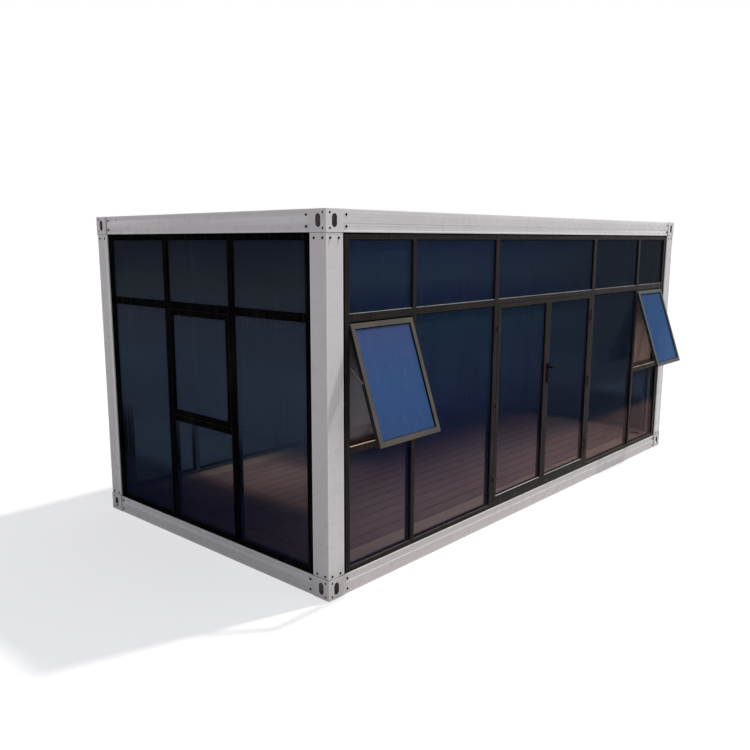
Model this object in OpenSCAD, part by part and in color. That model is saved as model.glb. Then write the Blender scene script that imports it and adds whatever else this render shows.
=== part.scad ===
// Glazed container-frame cabin: a bolted steel frame with eight corner
// fittings, filled on all four sides with dark aluminium glazing.
// The origin is on the ground at the middle of the footprint, +Z up.
// The double door is in the long face towards -Y.
// Lengths are in millimetres.

/* [Cabin] */
// Length over the corner fittings, along X
cabin_l = 6000; // [5200:10:9000]
// Width over the corner fittings, along Y
cabin_w = 3000; // [2400:10:4000]
// Height over the corner fittings
cabin_h = 2800; // [2500:10:3600]

/* [Steel frame] */
// Side of a corner fitting, seen from above
fitting_w = 165; // [140:1:220]
// Height of a corner fitting
fitting_h = 157; // [150:1:220]
// Plate thickness of a corner fitting
fitting_t = 8; // [4:1:14]
// Width of the obround slot in a fitting
slot_w = 50; // [30:1:60]
// Length of the obround slot in a fitting
slot_l = 94; // [70:1:110]
// Distance of the slot's middle from the corner's edge
slot_in = 80; // [60:1:90]
// Distance of the fitting's small holes from the corner's edge
pin_hole_in = 36; // [20:1:44]
// Distance of the fitting's small holes from its middle height
pin_hole_z = 52; // [44:1:58]
// Radius of the fitting's small holes
pin_hole_r = 9.5; // [6:0.5:12]
// Radius of the bolt holes in the posts and beams
bolt_r = 6.5; // [4:0.5:9]
// How far posts and beams lie behind the fittings' faces
steel_recess = 4; // [2:1:10]
// Sheet thickness of the posts and beams
steel_t = 3; // [2:0.5:6]
// Inner step of a corner post behind the glazing
post_step = 74; // [60:1:90]
// Distance of the post's first bolt hole from the corner's edge
post_bolt_in = 41; // [30:1:60]
// Distance from there to the second bolt hole
post_bolt_pitch = 83; // [50:1:95]
// Height of the post's lower bolt holes above the fitting
post_bolt_low = 24; // [16:1:60]
// Depth of the post's upper bolt holes below the fitting
post_bolt_high = 38; // [16:1:60]
// Distance of the beams' bolt holes from the fitting
beam_hole_in = 34; // [20:1:60]
// Distance of the beams' bolt holes from the beam's middle height
beam_hole_z = 40; // [20:1:55]
// Height of the top beams
top_beam_h = 157; // [140:1:220]
// Height of the bottom beams
bottom_beam_h = 154; // [140:1:220]
// Depth of the beams, inwards
beam_d = 92; // [85:1:120]
// Width of a beam's narrow flange, at the roof or the ground
flange_w = 64; // [40:1:80]
// Height of the lip on a beam's wide flange
lip_h = 30; // [15:1:50]
// Depth of the pressed field in a beam's outer web
field_d = 2.5; // [1:0.5:8]
// Height of the plain edge between the glazing and the pressed field
field_z0 = 10; // [6:1:20]
// Distance of the field's far end from the same edge
field_z1 = 64; // [40:1:80]
// Height of the slope at each end of the field
field_slope = 6; // [3:1:10]

/* [Glazing] */
// How far the glazing's face lies behind the fittings' faces
face_in = 12; // [8:1:20]
// Depth of the glazing bars, inwards
bar_d = 60; // [50:1:75]
// Depth from the bars' face to the glass
glass_in = 16; // [10:1:34]
// Glass thickness
glass_t = 10; // [6:1:14]
// How far the glass enters a bar's groove
glass_bite = 7; // [4:1:9]
// Width of the sealed joint between the posts and the glazing
joint_w = 24; // [8:1:30]
// Height of the sealed joint between the top beams and the glazing
head_joint_h = 12; // [4:1:20]
// Face width of a long face's jambs
jamb_w = 46; // [36:1:80]
// Face width of a long face's mullions
mullion_w = 46; // [36:1:70]
// Face width of an end face's jambs
end_jamb_w = 36; // [30:1:80]
// Face width of an end face's mullions
end_mullion_w = 58; // [36:1:80]
// Height of the bottom rail
sill_h = 38; // [30:1:60]
// Height of the head rail
head_h = 37; // [28:1:70]
// Height of the transom's top edge above the ground
transom_z = 2077; // [1950:1:2150]
// Height of a transom
transom_h = 55; // [45:1:70]
// Height of the rail under a window
midrail_h = 48; // [36:1:70]

/* [Windows] */
// Clear width of the left window of the door face
left_window_w = 710; // [560:1:800]
// Clear width of the right window of the door face
right_window_w = 675; // [560:1:800]
// Clear height of every window
window_h = 915; // [700:1:1100]
// Thickness of the fixed window lining
lining_t = 4; // [3:1:6]
// Depth of the stop that a closed sash meets
stop_w = 32; // [20:1:40]
// Face width of the sash bars
sash_bar = 40; // [32:1:55]
// Thickness of a sash
sash_t = 32; // [26:1:36]
// Gap round a sash in its lining
sash_gap = 2; // [1:0.5:3]
// Opening angle of the two open sashes, degrees
sash_angle = 19; // [5:1:35]
// How far the head of an open sash drops in its stays
sash_drop = 8; // [4:1:14]
// Face width of a fly screen's frame
screen_bar = 24; // [14:1:30]
// Thickness of a fly screen's frame
screen_t = 9; // [6:1:14]

/* [Doors] */
// Width between the door posts
door_w = 1790; // [1500:1:2000]
// Middle of the doorway, measured from the middle of the face
door_x = 45; // [-60:1:60]
// Face width of a door post
door_post_w = 60; // [50:1:80]
// Height of the transom over the doors
door_head_h = 42; // [36:1:60]
// Clearance round a door leaf
door_gap = 5; // [5:0.5:8]
// Thickness of a door leaf
leaf_t = 50; // [44:1:52]
// Face width of a leaf's stiles
stile_w = 45; // [40:1:60]
// Height of a leaf's top rail
leaf_top_h = 36; // [30:1:60]
// Height of a leaf's bottom rail
leaf_bottom_h = 56; // [45:1:120]
// Radius of a hinge knuckle
knuckle_r = 7; // [6:0.5:9]
// Radius of a hinge pin
pin_r = 3.5; // [3:0.5:4]
// Length of a hinge
hinge_l = 110; // [80:1:150]
// Distance of the outer hinges' middles from the leaf's ends
hinge_in = 220; // [120:1:400]
// Height of the lever's spindle above the ground
lever_z = 1362; // [1150:1:1450]
// Length of the lever
lever_l = 130; // [100:1:150]
// Length of the lever's back plate
plate_l = 200; // [180:1:240]
// Width of the lever's back plate
plate_w = 40; // [26:1:44]

/* [Floor and roof] */
// Floor board thickness
floor_t = 18; // [12:1:24]
// Section height of a floor joist
joist_h = 90; // [70:1:100]
// Section width of a floor joist
joist_w = 45; // [35:1:60]
// Number of floor joists
joist_n = 9; // [6:1:14]
// Thickness of the underside sheet
under_t = 2; // [1:0.5:4]
// Ceiling panel thickness
ceiling_t = 12; // [8:1:20]
// Section height of a roof joist
rafter_h = 70; // [50:1:80]
// Section width of a roof joist
rafter_w = 45; // [35:1:60]
// Number of roof joists
rafter_n = 7; // [5:1:12]
// Roof sheet thickness
roof_t = 2; // [1:0.5:4]
// Height of the roof sheet's ribs
rib_h = 22; // [12:1:30]
// Width of a roof rib at its foot
rib_foot_w = 116; // [80:1:150]
// Width of a roof rib at its top
rib_top_w = 70; // [30:1:78]
// Number of roof ribs
rib_n = 20; // [10:1:28]

/* [Hidden] */
$fn = 48;
clear = 0.2;                                   // clearance of glass in its groove
pin_clear = 0.08;                              // clearance of a pin or neck in its bore
knuckle_gap = 0.5;                             // gap between a hinge's knuckles
knuckle_off = 1;                               // space between the knuckles and the wall's face
strap_w = 30;                                  // reach of a hinge strap
strap_t = 3;                                   // thickness of a hinge strap
stop_lap = 16;                                 // width of the door stop each side of the post's edge
stop_t = 8;                                    // thickness of the door stop behind the post
mesh_t = 1;                                    // thickness of a fly screen's mesh
mitre_gap = 0.2;                               // gap in the lining's mitred corners
spindle_hole_r = 12;                           // hole through the stile
neck_r = 9;                                    // radius of the lever and its neck
plate_t = 8;                                   // thickness of a back plate
plate_over = 38;                               // back plate above the spindle
lever_out = 42;                                // reach of a lever from its plate
lock_r = 8.5;                                  // radius of the lock cylinder
lock_drop = 92;                                // lock cylinder below the spindle
lock_out = 2;                                  // reach of the lock cylinder from its plate
seal_in = 2;                                   // seal behind the glazing's face
stay_w = 14;                                   // width of a stay arm
stay_low = 300;                                // stay's end on the lining, below the sash's head
stay_high = 430;                               // stay's end on the sash, below its head
eps = 1;                                       // overrun of a cutting tool
half_l = cabin_l / 2;
half_w = cabin_w / 2;
frame_z0 = bottom_beam_h;                      // underside of the glazing
frame_z1 = cabin_h - top_beam_h;               // underside of the top beams
bars_z1 = frame_z1 - head_joint_h;             // top of the glazing
post_z0 = fitting_h;
post_z1 = cabin_h - fitting_h;
glass_y = face_in + glass_in;                  // outer face of the glass
transom_z0 = transom_z - transom_h;
head_z0 = bars_z1 - head_h;
sill_z1 = frame_z0 + sill_h;
window_z0 = transom_z0 - window_h;
midrail_z0 = window_z0 - midrail_h;
floor_z1 = frame_z0;
floor_z0 = floor_z1 - floor_t;
joist_z0 = floor_z0 - joist_h;
ceiling_z0 = frame_z1;
rafter_z0 = ceiling_z0 + ceiling_t;
roof_z0 = rafter_z0 + rafter_h;

// door face: middles of the mullions, from the left
jamb_x = half_l - fitting_w - joint_w - jamb_w;   // inner edge of a long face's jamb
m1 = -jamb_x + left_window_w + mullion_w / 2;
m2 = door_x - door_w / 2 - door_post_w / 2;
m3 = door_x + door_w / 2 + door_post_w / 2;
m4 = jamb_x - right_window_w - mullion_w / 2;
// end face: inner edge of a jamb, and the three equal bays
end_x = half_w - fitting_w - joint_w - end_jamb_w;
end_bay = (2 * end_x - 2 * end_mullion_w) / 3;

// a bay is [left edge, right edge] between two upright bars
front_bays = [[-jamb_x, m1 - mullion_w / 2],
              [m1 + mullion_w / 2, m2 - door_post_w / 2],
              [m2 + door_post_w / 2, m3 - door_post_w / 2],
              [m3 + door_post_w / 2, m4 - mullion_w / 2],
              [m4 + mullion_w / 2, jamb_x]];
back_m = [-m4, -m3, -door_x, -m2, -m1];
back_bays = [for (i = [0:5])
    [i == 0 ? -jamb_x : back_m[i - 1] + mullion_w / 2,
     i == 5 ? jamb_x : back_m[i] - mullion_w / 2]];
end_bays = [for (i = [-1:1]) [i * (end_bay + end_mullion_w) - end_bay / 2,
                              i * (end_bay + end_mullion_w) + end_bay / 2]];

leaf_w = (door_w - 3 * door_gap) / 2;
leaf_z0 = sill_z1 + door_gap;
leaf_z1 = transom_z - door_head_h - door_gap;
hinge_y = face_in - knuckle_r - knuckle_off;
hinge_x = door_w / 2 - door_gap / 2;
hinge_zs = [leaf_z0 + hinge_in, (leaf_z0 + leaf_z1) / 2, leaf_z1 - hinge_in];
knuckle_l = hinge_l / 3;

steel_color = [0.86, 0.84, 0.83];
bar_color = [0.20, 0.18, 0.17];
glass_color = [0.12, 0.16, 0.22, 0.55];
sash_glass_color = [0.22, 0.32, 0.48, 0.6];
wood_color = [0.45, 0.33, 0.27];

// ---- shapes ---------------------------------------------------------

// moves a wall drawn at y = 0, facing -Y, to side 0 front, 1 left, 2 back, 3 right
module on_side(side) {
    rotate([0, 0, [0, -90, 180, 90][side]])
        translate([0, -(side % 2 == 0 ? half_w : half_l), 0])
            children();
}

// box from its lowest to its highest corner
module block(lo, hi) {
    translate(lo) cube(hi - lo);
}

// obround hole along Z, long way along Y
module obround(w, l, h) {
    translate([-w / 2, -(l - w) / 2, 0]) cube([w, l - w, h]);
    for (s = [-1, 1]) translate([0, s * (l - w) / 2, 0]) cylinder(r = w / 2, h = h);
}

// points of a bent sheet of thickness t whose outer side follows the path
function unit(v) = v / norm(v);
function left_of(v) = [-v[1], v[0]];
function mitre(path, i, t) =
    let (n = len(path),
         a = i > 0 ? left_of(unit(path[i] - path[i - 1])) : undef,
         b = i < n - 1 ? left_of(unit(path[i + 1] - path[i])) : undef)
    a == undef ? path[i] + b * t
    : b == undef ? path[i] + a * t
    : path[i] + (a + b) * t / (1 + a * b);
function sheet(path, t) =
    let (n = len(path))
    concat(path, [for (i = [n - 1:-1:0]) mitre(path, i, t)]);

// extrudes a [depth, height] section along X, centred
module along_x(points, l) {
    translate([-l / 2, 0, 0]) rotate([90, 0, 90]) linear_extrude(l) polygon(points);
}

// ---- steel frame ----------------------------------------------------

// one fitting with its outer corner at the origin, reaching to +X, +Y and +Z
module fitting() {
    difference() {
        cube([fitting_w, fitting_w, fitting_h]);
        translate([fitting_t, fitting_t, fitting_t])
            cube([fitting_w - 2 * fitting_t, fitting_w - 2 * fitting_t, fitting_h - 2 * fitting_t]);
        // outer faces: one upright slot and two small holes in each
        translate([slot_in, -eps, fitting_h / 2]) rotate([-90, 0, 0])
            obround(slot_w, slot_l, fitting_t + 2 * eps);
        translate([-eps, slot_in, fitting_h / 2]) rotate([90, 0, 90])
            obround(slot_w, slot_l, fitting_t + 2 * eps);
        for (s = [-1, 1]) {
            z = fitting_h / 2 + s * pin_hole_z;
            translate([pin_hole_in, -eps, z]) rotate([-90, 0, 0])
                cylinder(r = pin_hole_r, h = fitting_t + 2 * eps);
            translate([-eps, pin_hole_in, z]) rotate([0, 90, 0])
                cylinder(r = pin_hole_r, h = fitting_t + 2 * eps);
        }
        // ground or roof face: one slot along X
        translate([fitting_w / 2, fitting_w / 2, -eps]) rotate([0, 0, 90])
            obround(slot_w, slot_l, fitting_t + 2 * eps);
    }
}

// repeats a corner piece at all four corners
module at_corners() {
    for (i = [0, 1]) for (j = [0, 1])
        mirror([i, 0, 0]) mirror([0, j, 0])
            translate([-half_l, -half_w, 0]) children();
}

module bottom_fittings() {
    color(steel_color) at_corners() fitting();
}

module top_fittings() {
    color(steel_color) translate([0, 0, cabin_h]) mirror([0, 0, 1]) at_corners() fitting();
}

// bent corner post: a hollow section that steps back behind the glazing
module post() {
    w = fitting_w - steel_recess;
    outline = [[0, 0], [w, 0], [w, post_step], [post_step, post_step],
               [post_step, w], [0, w]];
    in_w = w - steel_t;
    in_s = post_step - steel_t;
    hollow = [[steel_t, steel_t], [in_w, steel_t], [in_w, in_s], [in_s, in_s],
              [in_s, in_w], [steel_t, in_w]];
    hole_at = [for (k = [0, 1]) post_bolt_in + k * post_bolt_pitch - steel_recess];
    translate([steel_recess, steel_recess, post_z0]) difference() {
        linear_extrude(post_z1 - post_z0) polygon(outline);
        translate([0, 0, -eps]) linear_extrude(post_z1 - post_z0 + 2 * eps) polygon(hollow);
        for (a = hole_at) for (z = [post_bolt_low, post_z1 - post_z0 - post_bolt_high]) {
            translate([a, -eps, z]) rotate([-90, 0, 0]) cylinder(r = bolt_r, h = steel_t + 2 * eps);
            translate([-eps, a, z]) rotate([0, 90, 0]) cylinder(r = bolt_r, h = steel_t + 2 * eps);
        }
    }
}
module corner_post(i, j) {
    color(steel_color) mirror([i, 0, 0]) mirror([0, j, 0])
        translate([-half_l, -half_w, 0]) post();
}

// bent beam section of height h, as [depth, height] from its outer edge at the glazing
function beam_path(h) = let (d = beam_d - steel_recess)
    [[flange_w, h], [0, h], [0, field_z1], [field_d, field_z1 - field_slope],
     [field_d, field_z0 + field_slope], [0, field_z0], [0, 0], [d, 0], [d, lip_h]];

// beam drawn upwards from the glazing
module beam(side, h) {
    l = (side % 2 == 0 ? cabin_l : cabin_w) - 2 * fitting_w;
    on_side(side) translate([0, steel_recess, 0]) difference() {
        along_x(sheet(beam_path(h), steel_t), l);
        for (s = [-1, 1]) for (z = [h / 2 - beam_hole_z, h / 2 + beam_hole_z])
            translate([s * (l / 2 - beam_hole_in), -eps, z]) rotate([-90, 0, 0])
                cylinder(r = bolt_r, h = steel_t + field_d + 2 * eps);
    }
}

module top_beam(side) {
    color(steel_color) translate([0, 0, frame_z1]) beam(side, top_beam_h);
}

module bottom_beam(side) {
    color(steel_color) translate([0, 0, frame_z0]) mirror([0, 0, 1]) beam(side, bottom_beam_h);
}

// ---- glazing --------------------------------------------------------

// cuts the glass groove round one clear opening between bars
module groove(bay, z0, z1) {
    reach = glass_bite + clear;
    block([bay[0] - reach, glass_y - clear, z0 - reach],
          [bay[1] + reach, glass_y + glass_t + clear, z1 + reach]);
}

// pane for the clear opening between four bars
module pane(bay, z0, z1) {
    block([bay[0] - glass_bite, glass_y, z0 - glass_bite],
          [bay[1] + glass_bite, glass_y + glass_t, z1 + glass_bite]);
}

// clear openings of a side that hold fixed glass, as [bay, z0, z1]
function upper_row(bays) = [for (b = bays) [b, transom_z, head_z0]];
function lower_row(bays) = [for (b = bays) [b, sill_z1, transom_z0]];
function under_window(bays) = [for (b = bays) [b, sill_z1, midrail_z0]];
front_windows = [front_bays[0], front_bays[4]];
end_windows = [end_bays[1]];
front_cells = concat(upper_row(front_bays), lower_row([front_bays[1], front_bays[3]]),
                     under_window(front_windows));
back_cells = concat(upper_row(back_bays), lower_row(back_bays));
end_cells = concat(upper_row(end_bays), lower_row([end_bays[0], end_bays[2]]),
                   under_window(end_windows));

// upright bars between a side's bays, with its two jambs
module uprights(bays, jamb) {
    n = len(bays);
    edges = concat([[bays[0][0] - jamb, bays[0][0]]],
                   [for (i = [1:n - 1]) [bays[i - 1][1], bays[i][0]]],
                   [[bays[n - 1][1], bays[n - 1][1] + jamb]]);
    for (e = edges) {
        outer = e[0] < bays[0][0] || e[1] > bays[n - 1][1];
        block([e[0], face_in, outer ? frame_z0 : sill_z1],
              [e[1], face_in + bar_d, outer ? bars_z1 : head_z0]);
    }
}

// head rail and bottom rail of a side, from jamb to jamb
module long_rails(bays) {
    x0 = bays[0][0];
    x1 = bays[len(bays) - 1][1];
    for (z = [[frame_z0, sill_z1], [head_z0, bars_z1]])
        block([x0, face_in, z[0]], [x1, face_in + bar_d, z[1]]);
}

// rails across single bays, from z0 to z1
module short_rails(bays, z0, z1) {
    for (b = bays) block([b[0], face_in, z0], [b[1], face_in + bar_d, z1]);
}

module cut_grooves(cells) {
    difference() {
        children();
        for (c = cells) groove(c[0], c[1], c[2]);
    }
}

module panes(side, cells) {
    color(glass_color) on_side(side) for (c = cells) pane(c[0], c[1], c[2]);
}

module front_mullions() {
    color(bar_color) on_side(0) {
        cut_grooves(front_cells) uprights(front_bays, jamb_w);
        // the door posts carry the stop that the leaves close against
        for (s = [-1, 1]) door_stop_upright(s);
    }
}

module front_rails() {
    color(bar_color) on_side(0) cut_grooves(front_cells) {
        long_rails(front_bays);
        short_rails([for (i = [0, 1, 3, 4]) front_bays[i]], transom_z0, transom_z);
        short_rails([front_bays[2]], transom_z - door_head_h, transom_z);
        short_rails(front_windows, midrail_z0, window_z0);
    }
}

module back_mullions() {
    color(bar_color) on_side(2) cut_grooves(back_cells) uprights(back_bays, jamb_w);
}

module back_rails() {
    color(bar_color) on_side(2) cut_grooves(back_cells) {
        long_rails(back_bays);
        short_rails(back_bays, transom_z0, transom_z);
    }
}

module end_mullions(side) {
    color(bar_color) on_side(side) cut_grooves(end_cells) uprights(end_bays, end_jamb_w);
}

module end_rails(side) {
    color(bar_color) on_side(side) cut_grooves(end_cells) {
        long_rails(end_bays);
        short_rails(end_bays, transom_z0, transom_z);
        short_rails(end_windows, midrail_z0, window_z0);
    }
}

// rubber joint round the glazing: up one post, along the top beam and down the other post
module post_seals() {
    color("black") for (side = [0:3]) on_side(side) {
        x1 = (side % 2 == 0 ? half_l : half_w) - fitting_w;
        x0 = x1 - joint_w;
        difference() {
            block([-x1, face_in + seal_in, frame_z0], [x1, face_in + bar_d, frame_z1]);
            block([-x0, face_in + seal_in - eps, frame_z0 - eps], [x0, face_in + bar_d + eps, bars_z1]);
        }
    }
}

// ---- windows --------------------------------------------------------

// frame between two rectangles in the plane of the glazing, as [x0, x1, z0, z1]
module ring(o, i, y0, y1) {
    difference() {
        block([o[0], y0, o[2]], [o[1], y1, o[3]]);
        block([i[0], y0 - eps, i[2]], [i[1], y1 + eps, i[3]]);
    }
}
function inset(r, d) = [r[0] + d, r[1] - d, r[2] + d, r[3] - d];

// thin slots that part a frame of face width w into four bars with mitred ends
module mitres(r, w, y0, y1) {
    for (i = [0, 1]) for (j = [0, 1])
        translate([r[i], y0 - eps, r[2 + j]]) rotate([0, (j == 0 ? -1 : 1) * (i == 0 ? 45 : 135), 0])
            translate([-eps, 0, -mitre_gap / 2])
                cube([w * sqrt(2) + 2 * eps, y1 - y0 + 2 * eps, mitre_gap]);
}

// fixed lining of a window opening, with the stop that the sash closes on
module lining(bay) {
    opening = [bay[0], bay[1], window_z0, transom_z0];
    inside = inset(opening, lining_t);
    difference() {
        union() {
            ring(opening, inside, face_in, face_in + bar_d);
            ring(inset(opening, lining_t / 2), inset(inside, stop_w), face_in + sash_t, face_in + bar_d);
        }
        mitres(opening, lining_t + stop_w, face_in, face_in + bar_d);
    }
}

// sash drawn from the middle of its upper outer edge, downwards
function sash_size(bay) = [bay[1] - bay[0] - 2 * (lining_t + sash_gap),
                           window_h - 2 * (lining_t + sash_gap)];
function sash_rect(bay) = let (s = sash_size(bay)) [-s[0] / 2, s[0] / 2, -s[1], 0];
sash_glass_y = (sash_t - glass_t) / 2;

module sash(bay) {
    r = sash_rect(bay);
    difference() {
        ring(r, inset(r, sash_bar), 0, sash_t);
        g = inset(r, sash_bar - glass_bite - clear);
        block([g[0], sash_glass_y - clear, g[2]], [g[1], sash_glass_y + glass_t + clear, g[3]]);
    }
}

module sash_pane(bay) {
    g = inset(sash_rect(bay), sash_bar - glass_bite);
    block([g[0], sash_glass_y, g[2]], [g[1], sash_glass_y + glass_t, g[3]]);
}

// puts a sash in its bay, swung out at the bottom by an angle
module in_window(bay, angle = 0, drop = 0) {
    translate([(bay[0] + bay[1]) / 2, face_in, transom_z0 - lining_t - sash_gap - drop])
        rotate([-angle, 0, 0]) children();
}

module window_linings() {
    color(bar_color) {
        on_side(0) for (b = front_windows) lining(b);
        for (side = [1, 3]) on_side(side) lining(end_windows[0]);
    }
}

module end_sashes() {
    color(bar_color) for (side = [1, 3])
        on_side(side) in_window(end_windows[0]) sash(end_windows[0]);
}

module end_sash_glass() {
    color(glass_color) for (side = [1, 3])
        on_side(side) in_window(end_windows[0]) sash_pane(end_windows[0]);
}

module open_sash(i) {
    color(bar_color) on_side(0)
        in_window(front_windows[i], sash_angle, sash_drop) sash(front_windows[i]);
}

module open_sash_glass() {
    color(sash_glass_color) on_side(0) for (b = front_windows)
        in_window(b, sash_angle, sash_drop) sash_pane(b);
}

// flat stay arm beside a sash, from the lining to the sash
module stay(bay, s) {
    top = transom_z0 - lining_t - sash_gap - sash_drop;
    a = [face_in + sash_t - stay_w / 2, top - stay_low];
    c = [sash_t / 2, -stay_high];
    b = [face_in + c[0] * cos(sash_angle) + c[1] * sin(sash_angle),
         top - c[0] * sin(sash_angle) + c[1] * cos(sash_angle)];
    x = s == 0 ? bay[0] + lining_t : bay[1] - lining_t - sash_gap;
    turn = atan2(b[1] - a[1], b[0] - a[0]);
    translate([x, a[0], a[1]]) rotate([turn, 0, 0]) {
        translate([0, 0, -stay_w / 2]) cube([sash_gap, norm(b - a), stay_w]);
        for (y = [0, norm(b - a)]) translate([0, y, 0]) rotate([0, 90, 0])
            cylinder(d = stay_w, h = sash_gap);
    }
}

module window_stays() {
    color("dimgray") on_side(0) for (b = front_windows) for (s = [0, 1]) stay(b, s);
}

// framed mesh behind each open window, seated on the back of the lining's stop
module fly_screens() {
    y0 = face_in + bar_d;
    mesh_y = y0 + (screen_t - mesh_t) / 2;
    color("dimgray") on_side(0) for (b = front_windows) {
        outline = inset([b[0], b[1], window_z0, transom_z0], lining_t);
        mesh = inset(outline, screen_bar / 2);
        ring(outline, inset(outline, screen_bar), y0, y0 + screen_t);
        block([mesh[0], mesh_y, mesh[2]], [mesh[1], mesh_y + mesh_t, mesh[3]]);
    }
}

// ---- double door ----------------------------------------------------

// stop behind a leaf: a strip that laps behind the door post and steps up to the leaf's back
module door_stop_upright(s) {
    back = face_in + bar_d + stop_t;
    translate([door_x + s * door_w / 2, 0, 0]) mirror([s > 0 ? 1 : 0, 0, 0]) {
        block([-stop_lap, face_in + bar_d, sill_z1], [stop_lap, back, leaf_z1 + door_gap]);
        block([0, face_in + leaf_t + door_gap, sill_z1], [stop_lap, back, leaf_z1 + door_gap]);
    }
}

// outline of a leaf, s = -1 left, 1 right
function leaf_rect(s) = let (e = door_x + s * (door_w / 2 - door_gap))
    [min(e, e - s * leaf_w), max(e, e - s * leaf_w), leaf_z0, leaf_z1];
function leaf_glass(s) = let (r = leaf_rect(s))
    [r[0] + stile_w, r[1] - stile_w, leaf_z0 + leaf_bottom_h, leaf_z1 - leaf_top_h];
spindle_x = leaf_rect(1)[0] + stile_w / 2;

module leaf(s) {
    color(bar_color) on_side(0) difference() {
        ring(leaf_rect(s), leaf_glass(s), face_in, face_in + leaf_t);
        g = leaf_glass(s);
        groove([g[0], g[1]], g[2], g[3]);
        if (s > 0) translate([spindle_x, face_in - eps, lever_z]) rotate([-90, 0, 0])
            cylinder(r = spindle_hole_r, h = leaf_t + 2 * eps);
    }
}

module leaf_pane(s) {
    g = leaf_glass(s);
    color(glass_color) on_side(0) pane([g[0], g[1]], g[2], g[3]);
}

// one knuckle on the hinge line, from z0 to z1
module knuckle(z0, z1) {
    translate([0, 0, z0]) cylinder(r = knuckle_r, h = z1 - z0);
}

// flat strap from the hinge line to the side s, on the wall's face
module hinge_strap(s, z0, z1) {
    y = face_in - hinge_y;
    block([min(0, s * strap_w), y - strap_t, z0], [max(0, s * strap_w), y, z1]);
}

// repeats a hinge piece at every hinge of leaf s
module at_hinges(s) {
    on_side(0) for (z = hinge_zs)
        translate([door_x + s * hinge_x, hinge_y, z]) mirror([s < 0 ? 0 : 1, 0, 0]) children();
}

// fixed half: upper and lower knuckle on a strap, and the pin through all three
module hinge_pins() {
    color("dimgray") for (s = [-1, 1]) at_hinges(s) {
        for (z = [-hinge_l / 2, knuckle_l / 2]) {
            knuckle(z, z + knuckle_l);
            hinge_strap(-1, z, z + knuckle_l);
        }
        translate([0, 0, -hinge_l / 2]) cylinder(r = pin_r, h = hinge_l);
    }
}

// moving half: middle knuckle on a strap
module door_hinges(s) {
    end = knuckle_l / 2 - knuckle_gap;
    color("dimgray") at_hinges(s) difference() {
        union() {
            knuckle(-end, end);
            hinge_strap(1, -end, end);
        }
        translate([0, 0, -end - eps]) cylinder(r = pin_r + pin_clear, h = 2 * (end + eps));
    }
}

// long back plate with its lock cylinder, on a leaf's face at y = 0, towards +Y
module back_plate() {
    rotate([-90, 0, 0]) difference() {
        union() {
            translate([0, plate_l / 2 - plate_over, 0]) obround(plate_w, plate_l, plate_t);
            translate([0, lock_drop, 0]) cylinder(r = lock_r, h = plate_t + lock_out);
        }
        translate([0, 0, -eps]) cylinder(r = neck_r + pin_clear, h = plate_t + 2 * eps);
    }
}

// back plates on both faces of the right leaf's meeting stile
module handle_plate() {
    color("black") on_side(0) translate([spindle_x, face_in, lever_z]) {
        mirror([0, 1, 0]) back_plate();
        translate([0, leaf_t, 0]) back_plate();
    }
}

// neck and lever on a leaf's face at y = 0, towards +Y, pointing to +X
module lever() {
    reach = plate_t + lever_out;
    rotate([-90, 0, 0]) cylinder(r = neck_r, h = reach);
    translate([0, reach, 0]) {
        sphere(r = neck_r);
        rotate([0, 90, 0]) cylinder(r = neck_r, h = lever_l);
        translate([lever_l, 0, 0]) sphere(r = neck_r);
    }
}

// two levers on one spindle
module door_handle() {
    color("black") on_side(0) translate([spindle_x, face_in, lever_z]) {
        mirror([0, 1, 0]) lever();
        rotate([-90, 0, 0]) cylinder(r = neck_r / 2, h = leaf_t);
        translate([0, leaf_t, 0]) lever();
    }
}

// ---- floor and roof -------------------------------------------------

// level plate between the four beams, clear of the corner fittings
module between_beams(z0, z1) {
    difference() {
        block([beam_d - half_l, beam_d - half_w, z0], [half_l - beam_d, half_w - beam_d, z1]);
        at_corners() translate([0, 0, z0 - eps]) cube([fitting_w, fitting_w, z1 - z0 + 2 * eps]);
    }
}

// joists across the cabin, evenly spaced
module joists(n, w, h, z0) {
    run = cabin_l - 2 * (fitting_w + w);
    for (i = [0:n - 1])
        translate([-run / 2 + i * run / (n - 1) - w / 2, beam_d - half_w, z0])
            difference() {
                cube([w, cabin_w - 2 * beam_d, h]);
                translate([steel_t, -eps, steel_t])
                    cube([w - 2 * steel_t, cabin_w - 2 * beam_d + 2 * eps, h - 2 * steel_t]);
            }
}

module floor_joists() {
    color("silver") joists(joist_n, joist_w, joist_h, joist_z0);
}

module floor_panel() {
    color(wood_color) between_beams(floor_z0, floor_z1);
}

module underside_sheet() {
    color("silver") between_beams(joist_z0 - under_t, joist_z0);
}

module roof_joists() {
    color("silver") joists(rafter_n, rafter_w, rafter_h, rafter_z0);
}

module ceiling_panel() {
    color("white") between_beams(ceiling_z0, ceiling_z0 + ceiling_t);
}

// ribbed sheet in the tray inside the top beams
module roof_sheet() {
    run = cabin_l - 2 * beam_d;
    rib = [[-rib_foot_w / 2, 0], [-rib_top_w / 2, rib_h], [rib_top_w / 2, rib_h], [rib_foot_w / 2, 0]];
    path = concat([[0, 0]], [for (i = [0:rib_n - 1]) for (p = rib)
        [(i + 1 / 2) * run / rib_n + p[0], p[1]]], [[run, 0]]);
    color("gainsboro") difference() {
        translate([-run / 2, half_w - beam_d, roof_z0]) rotate([90, 0, 0])
            linear_extrude(cabin_w - 2 * beam_d) polygon(sheet(path, roof_t));
        at_corners() translate([0, 0, roof_z0 - eps])
            cube([fitting_w, fitting_w, rib_h + roof_t + 2 * eps]);
    }
}

// ---- drawing --------------------------------------------------------

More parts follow.
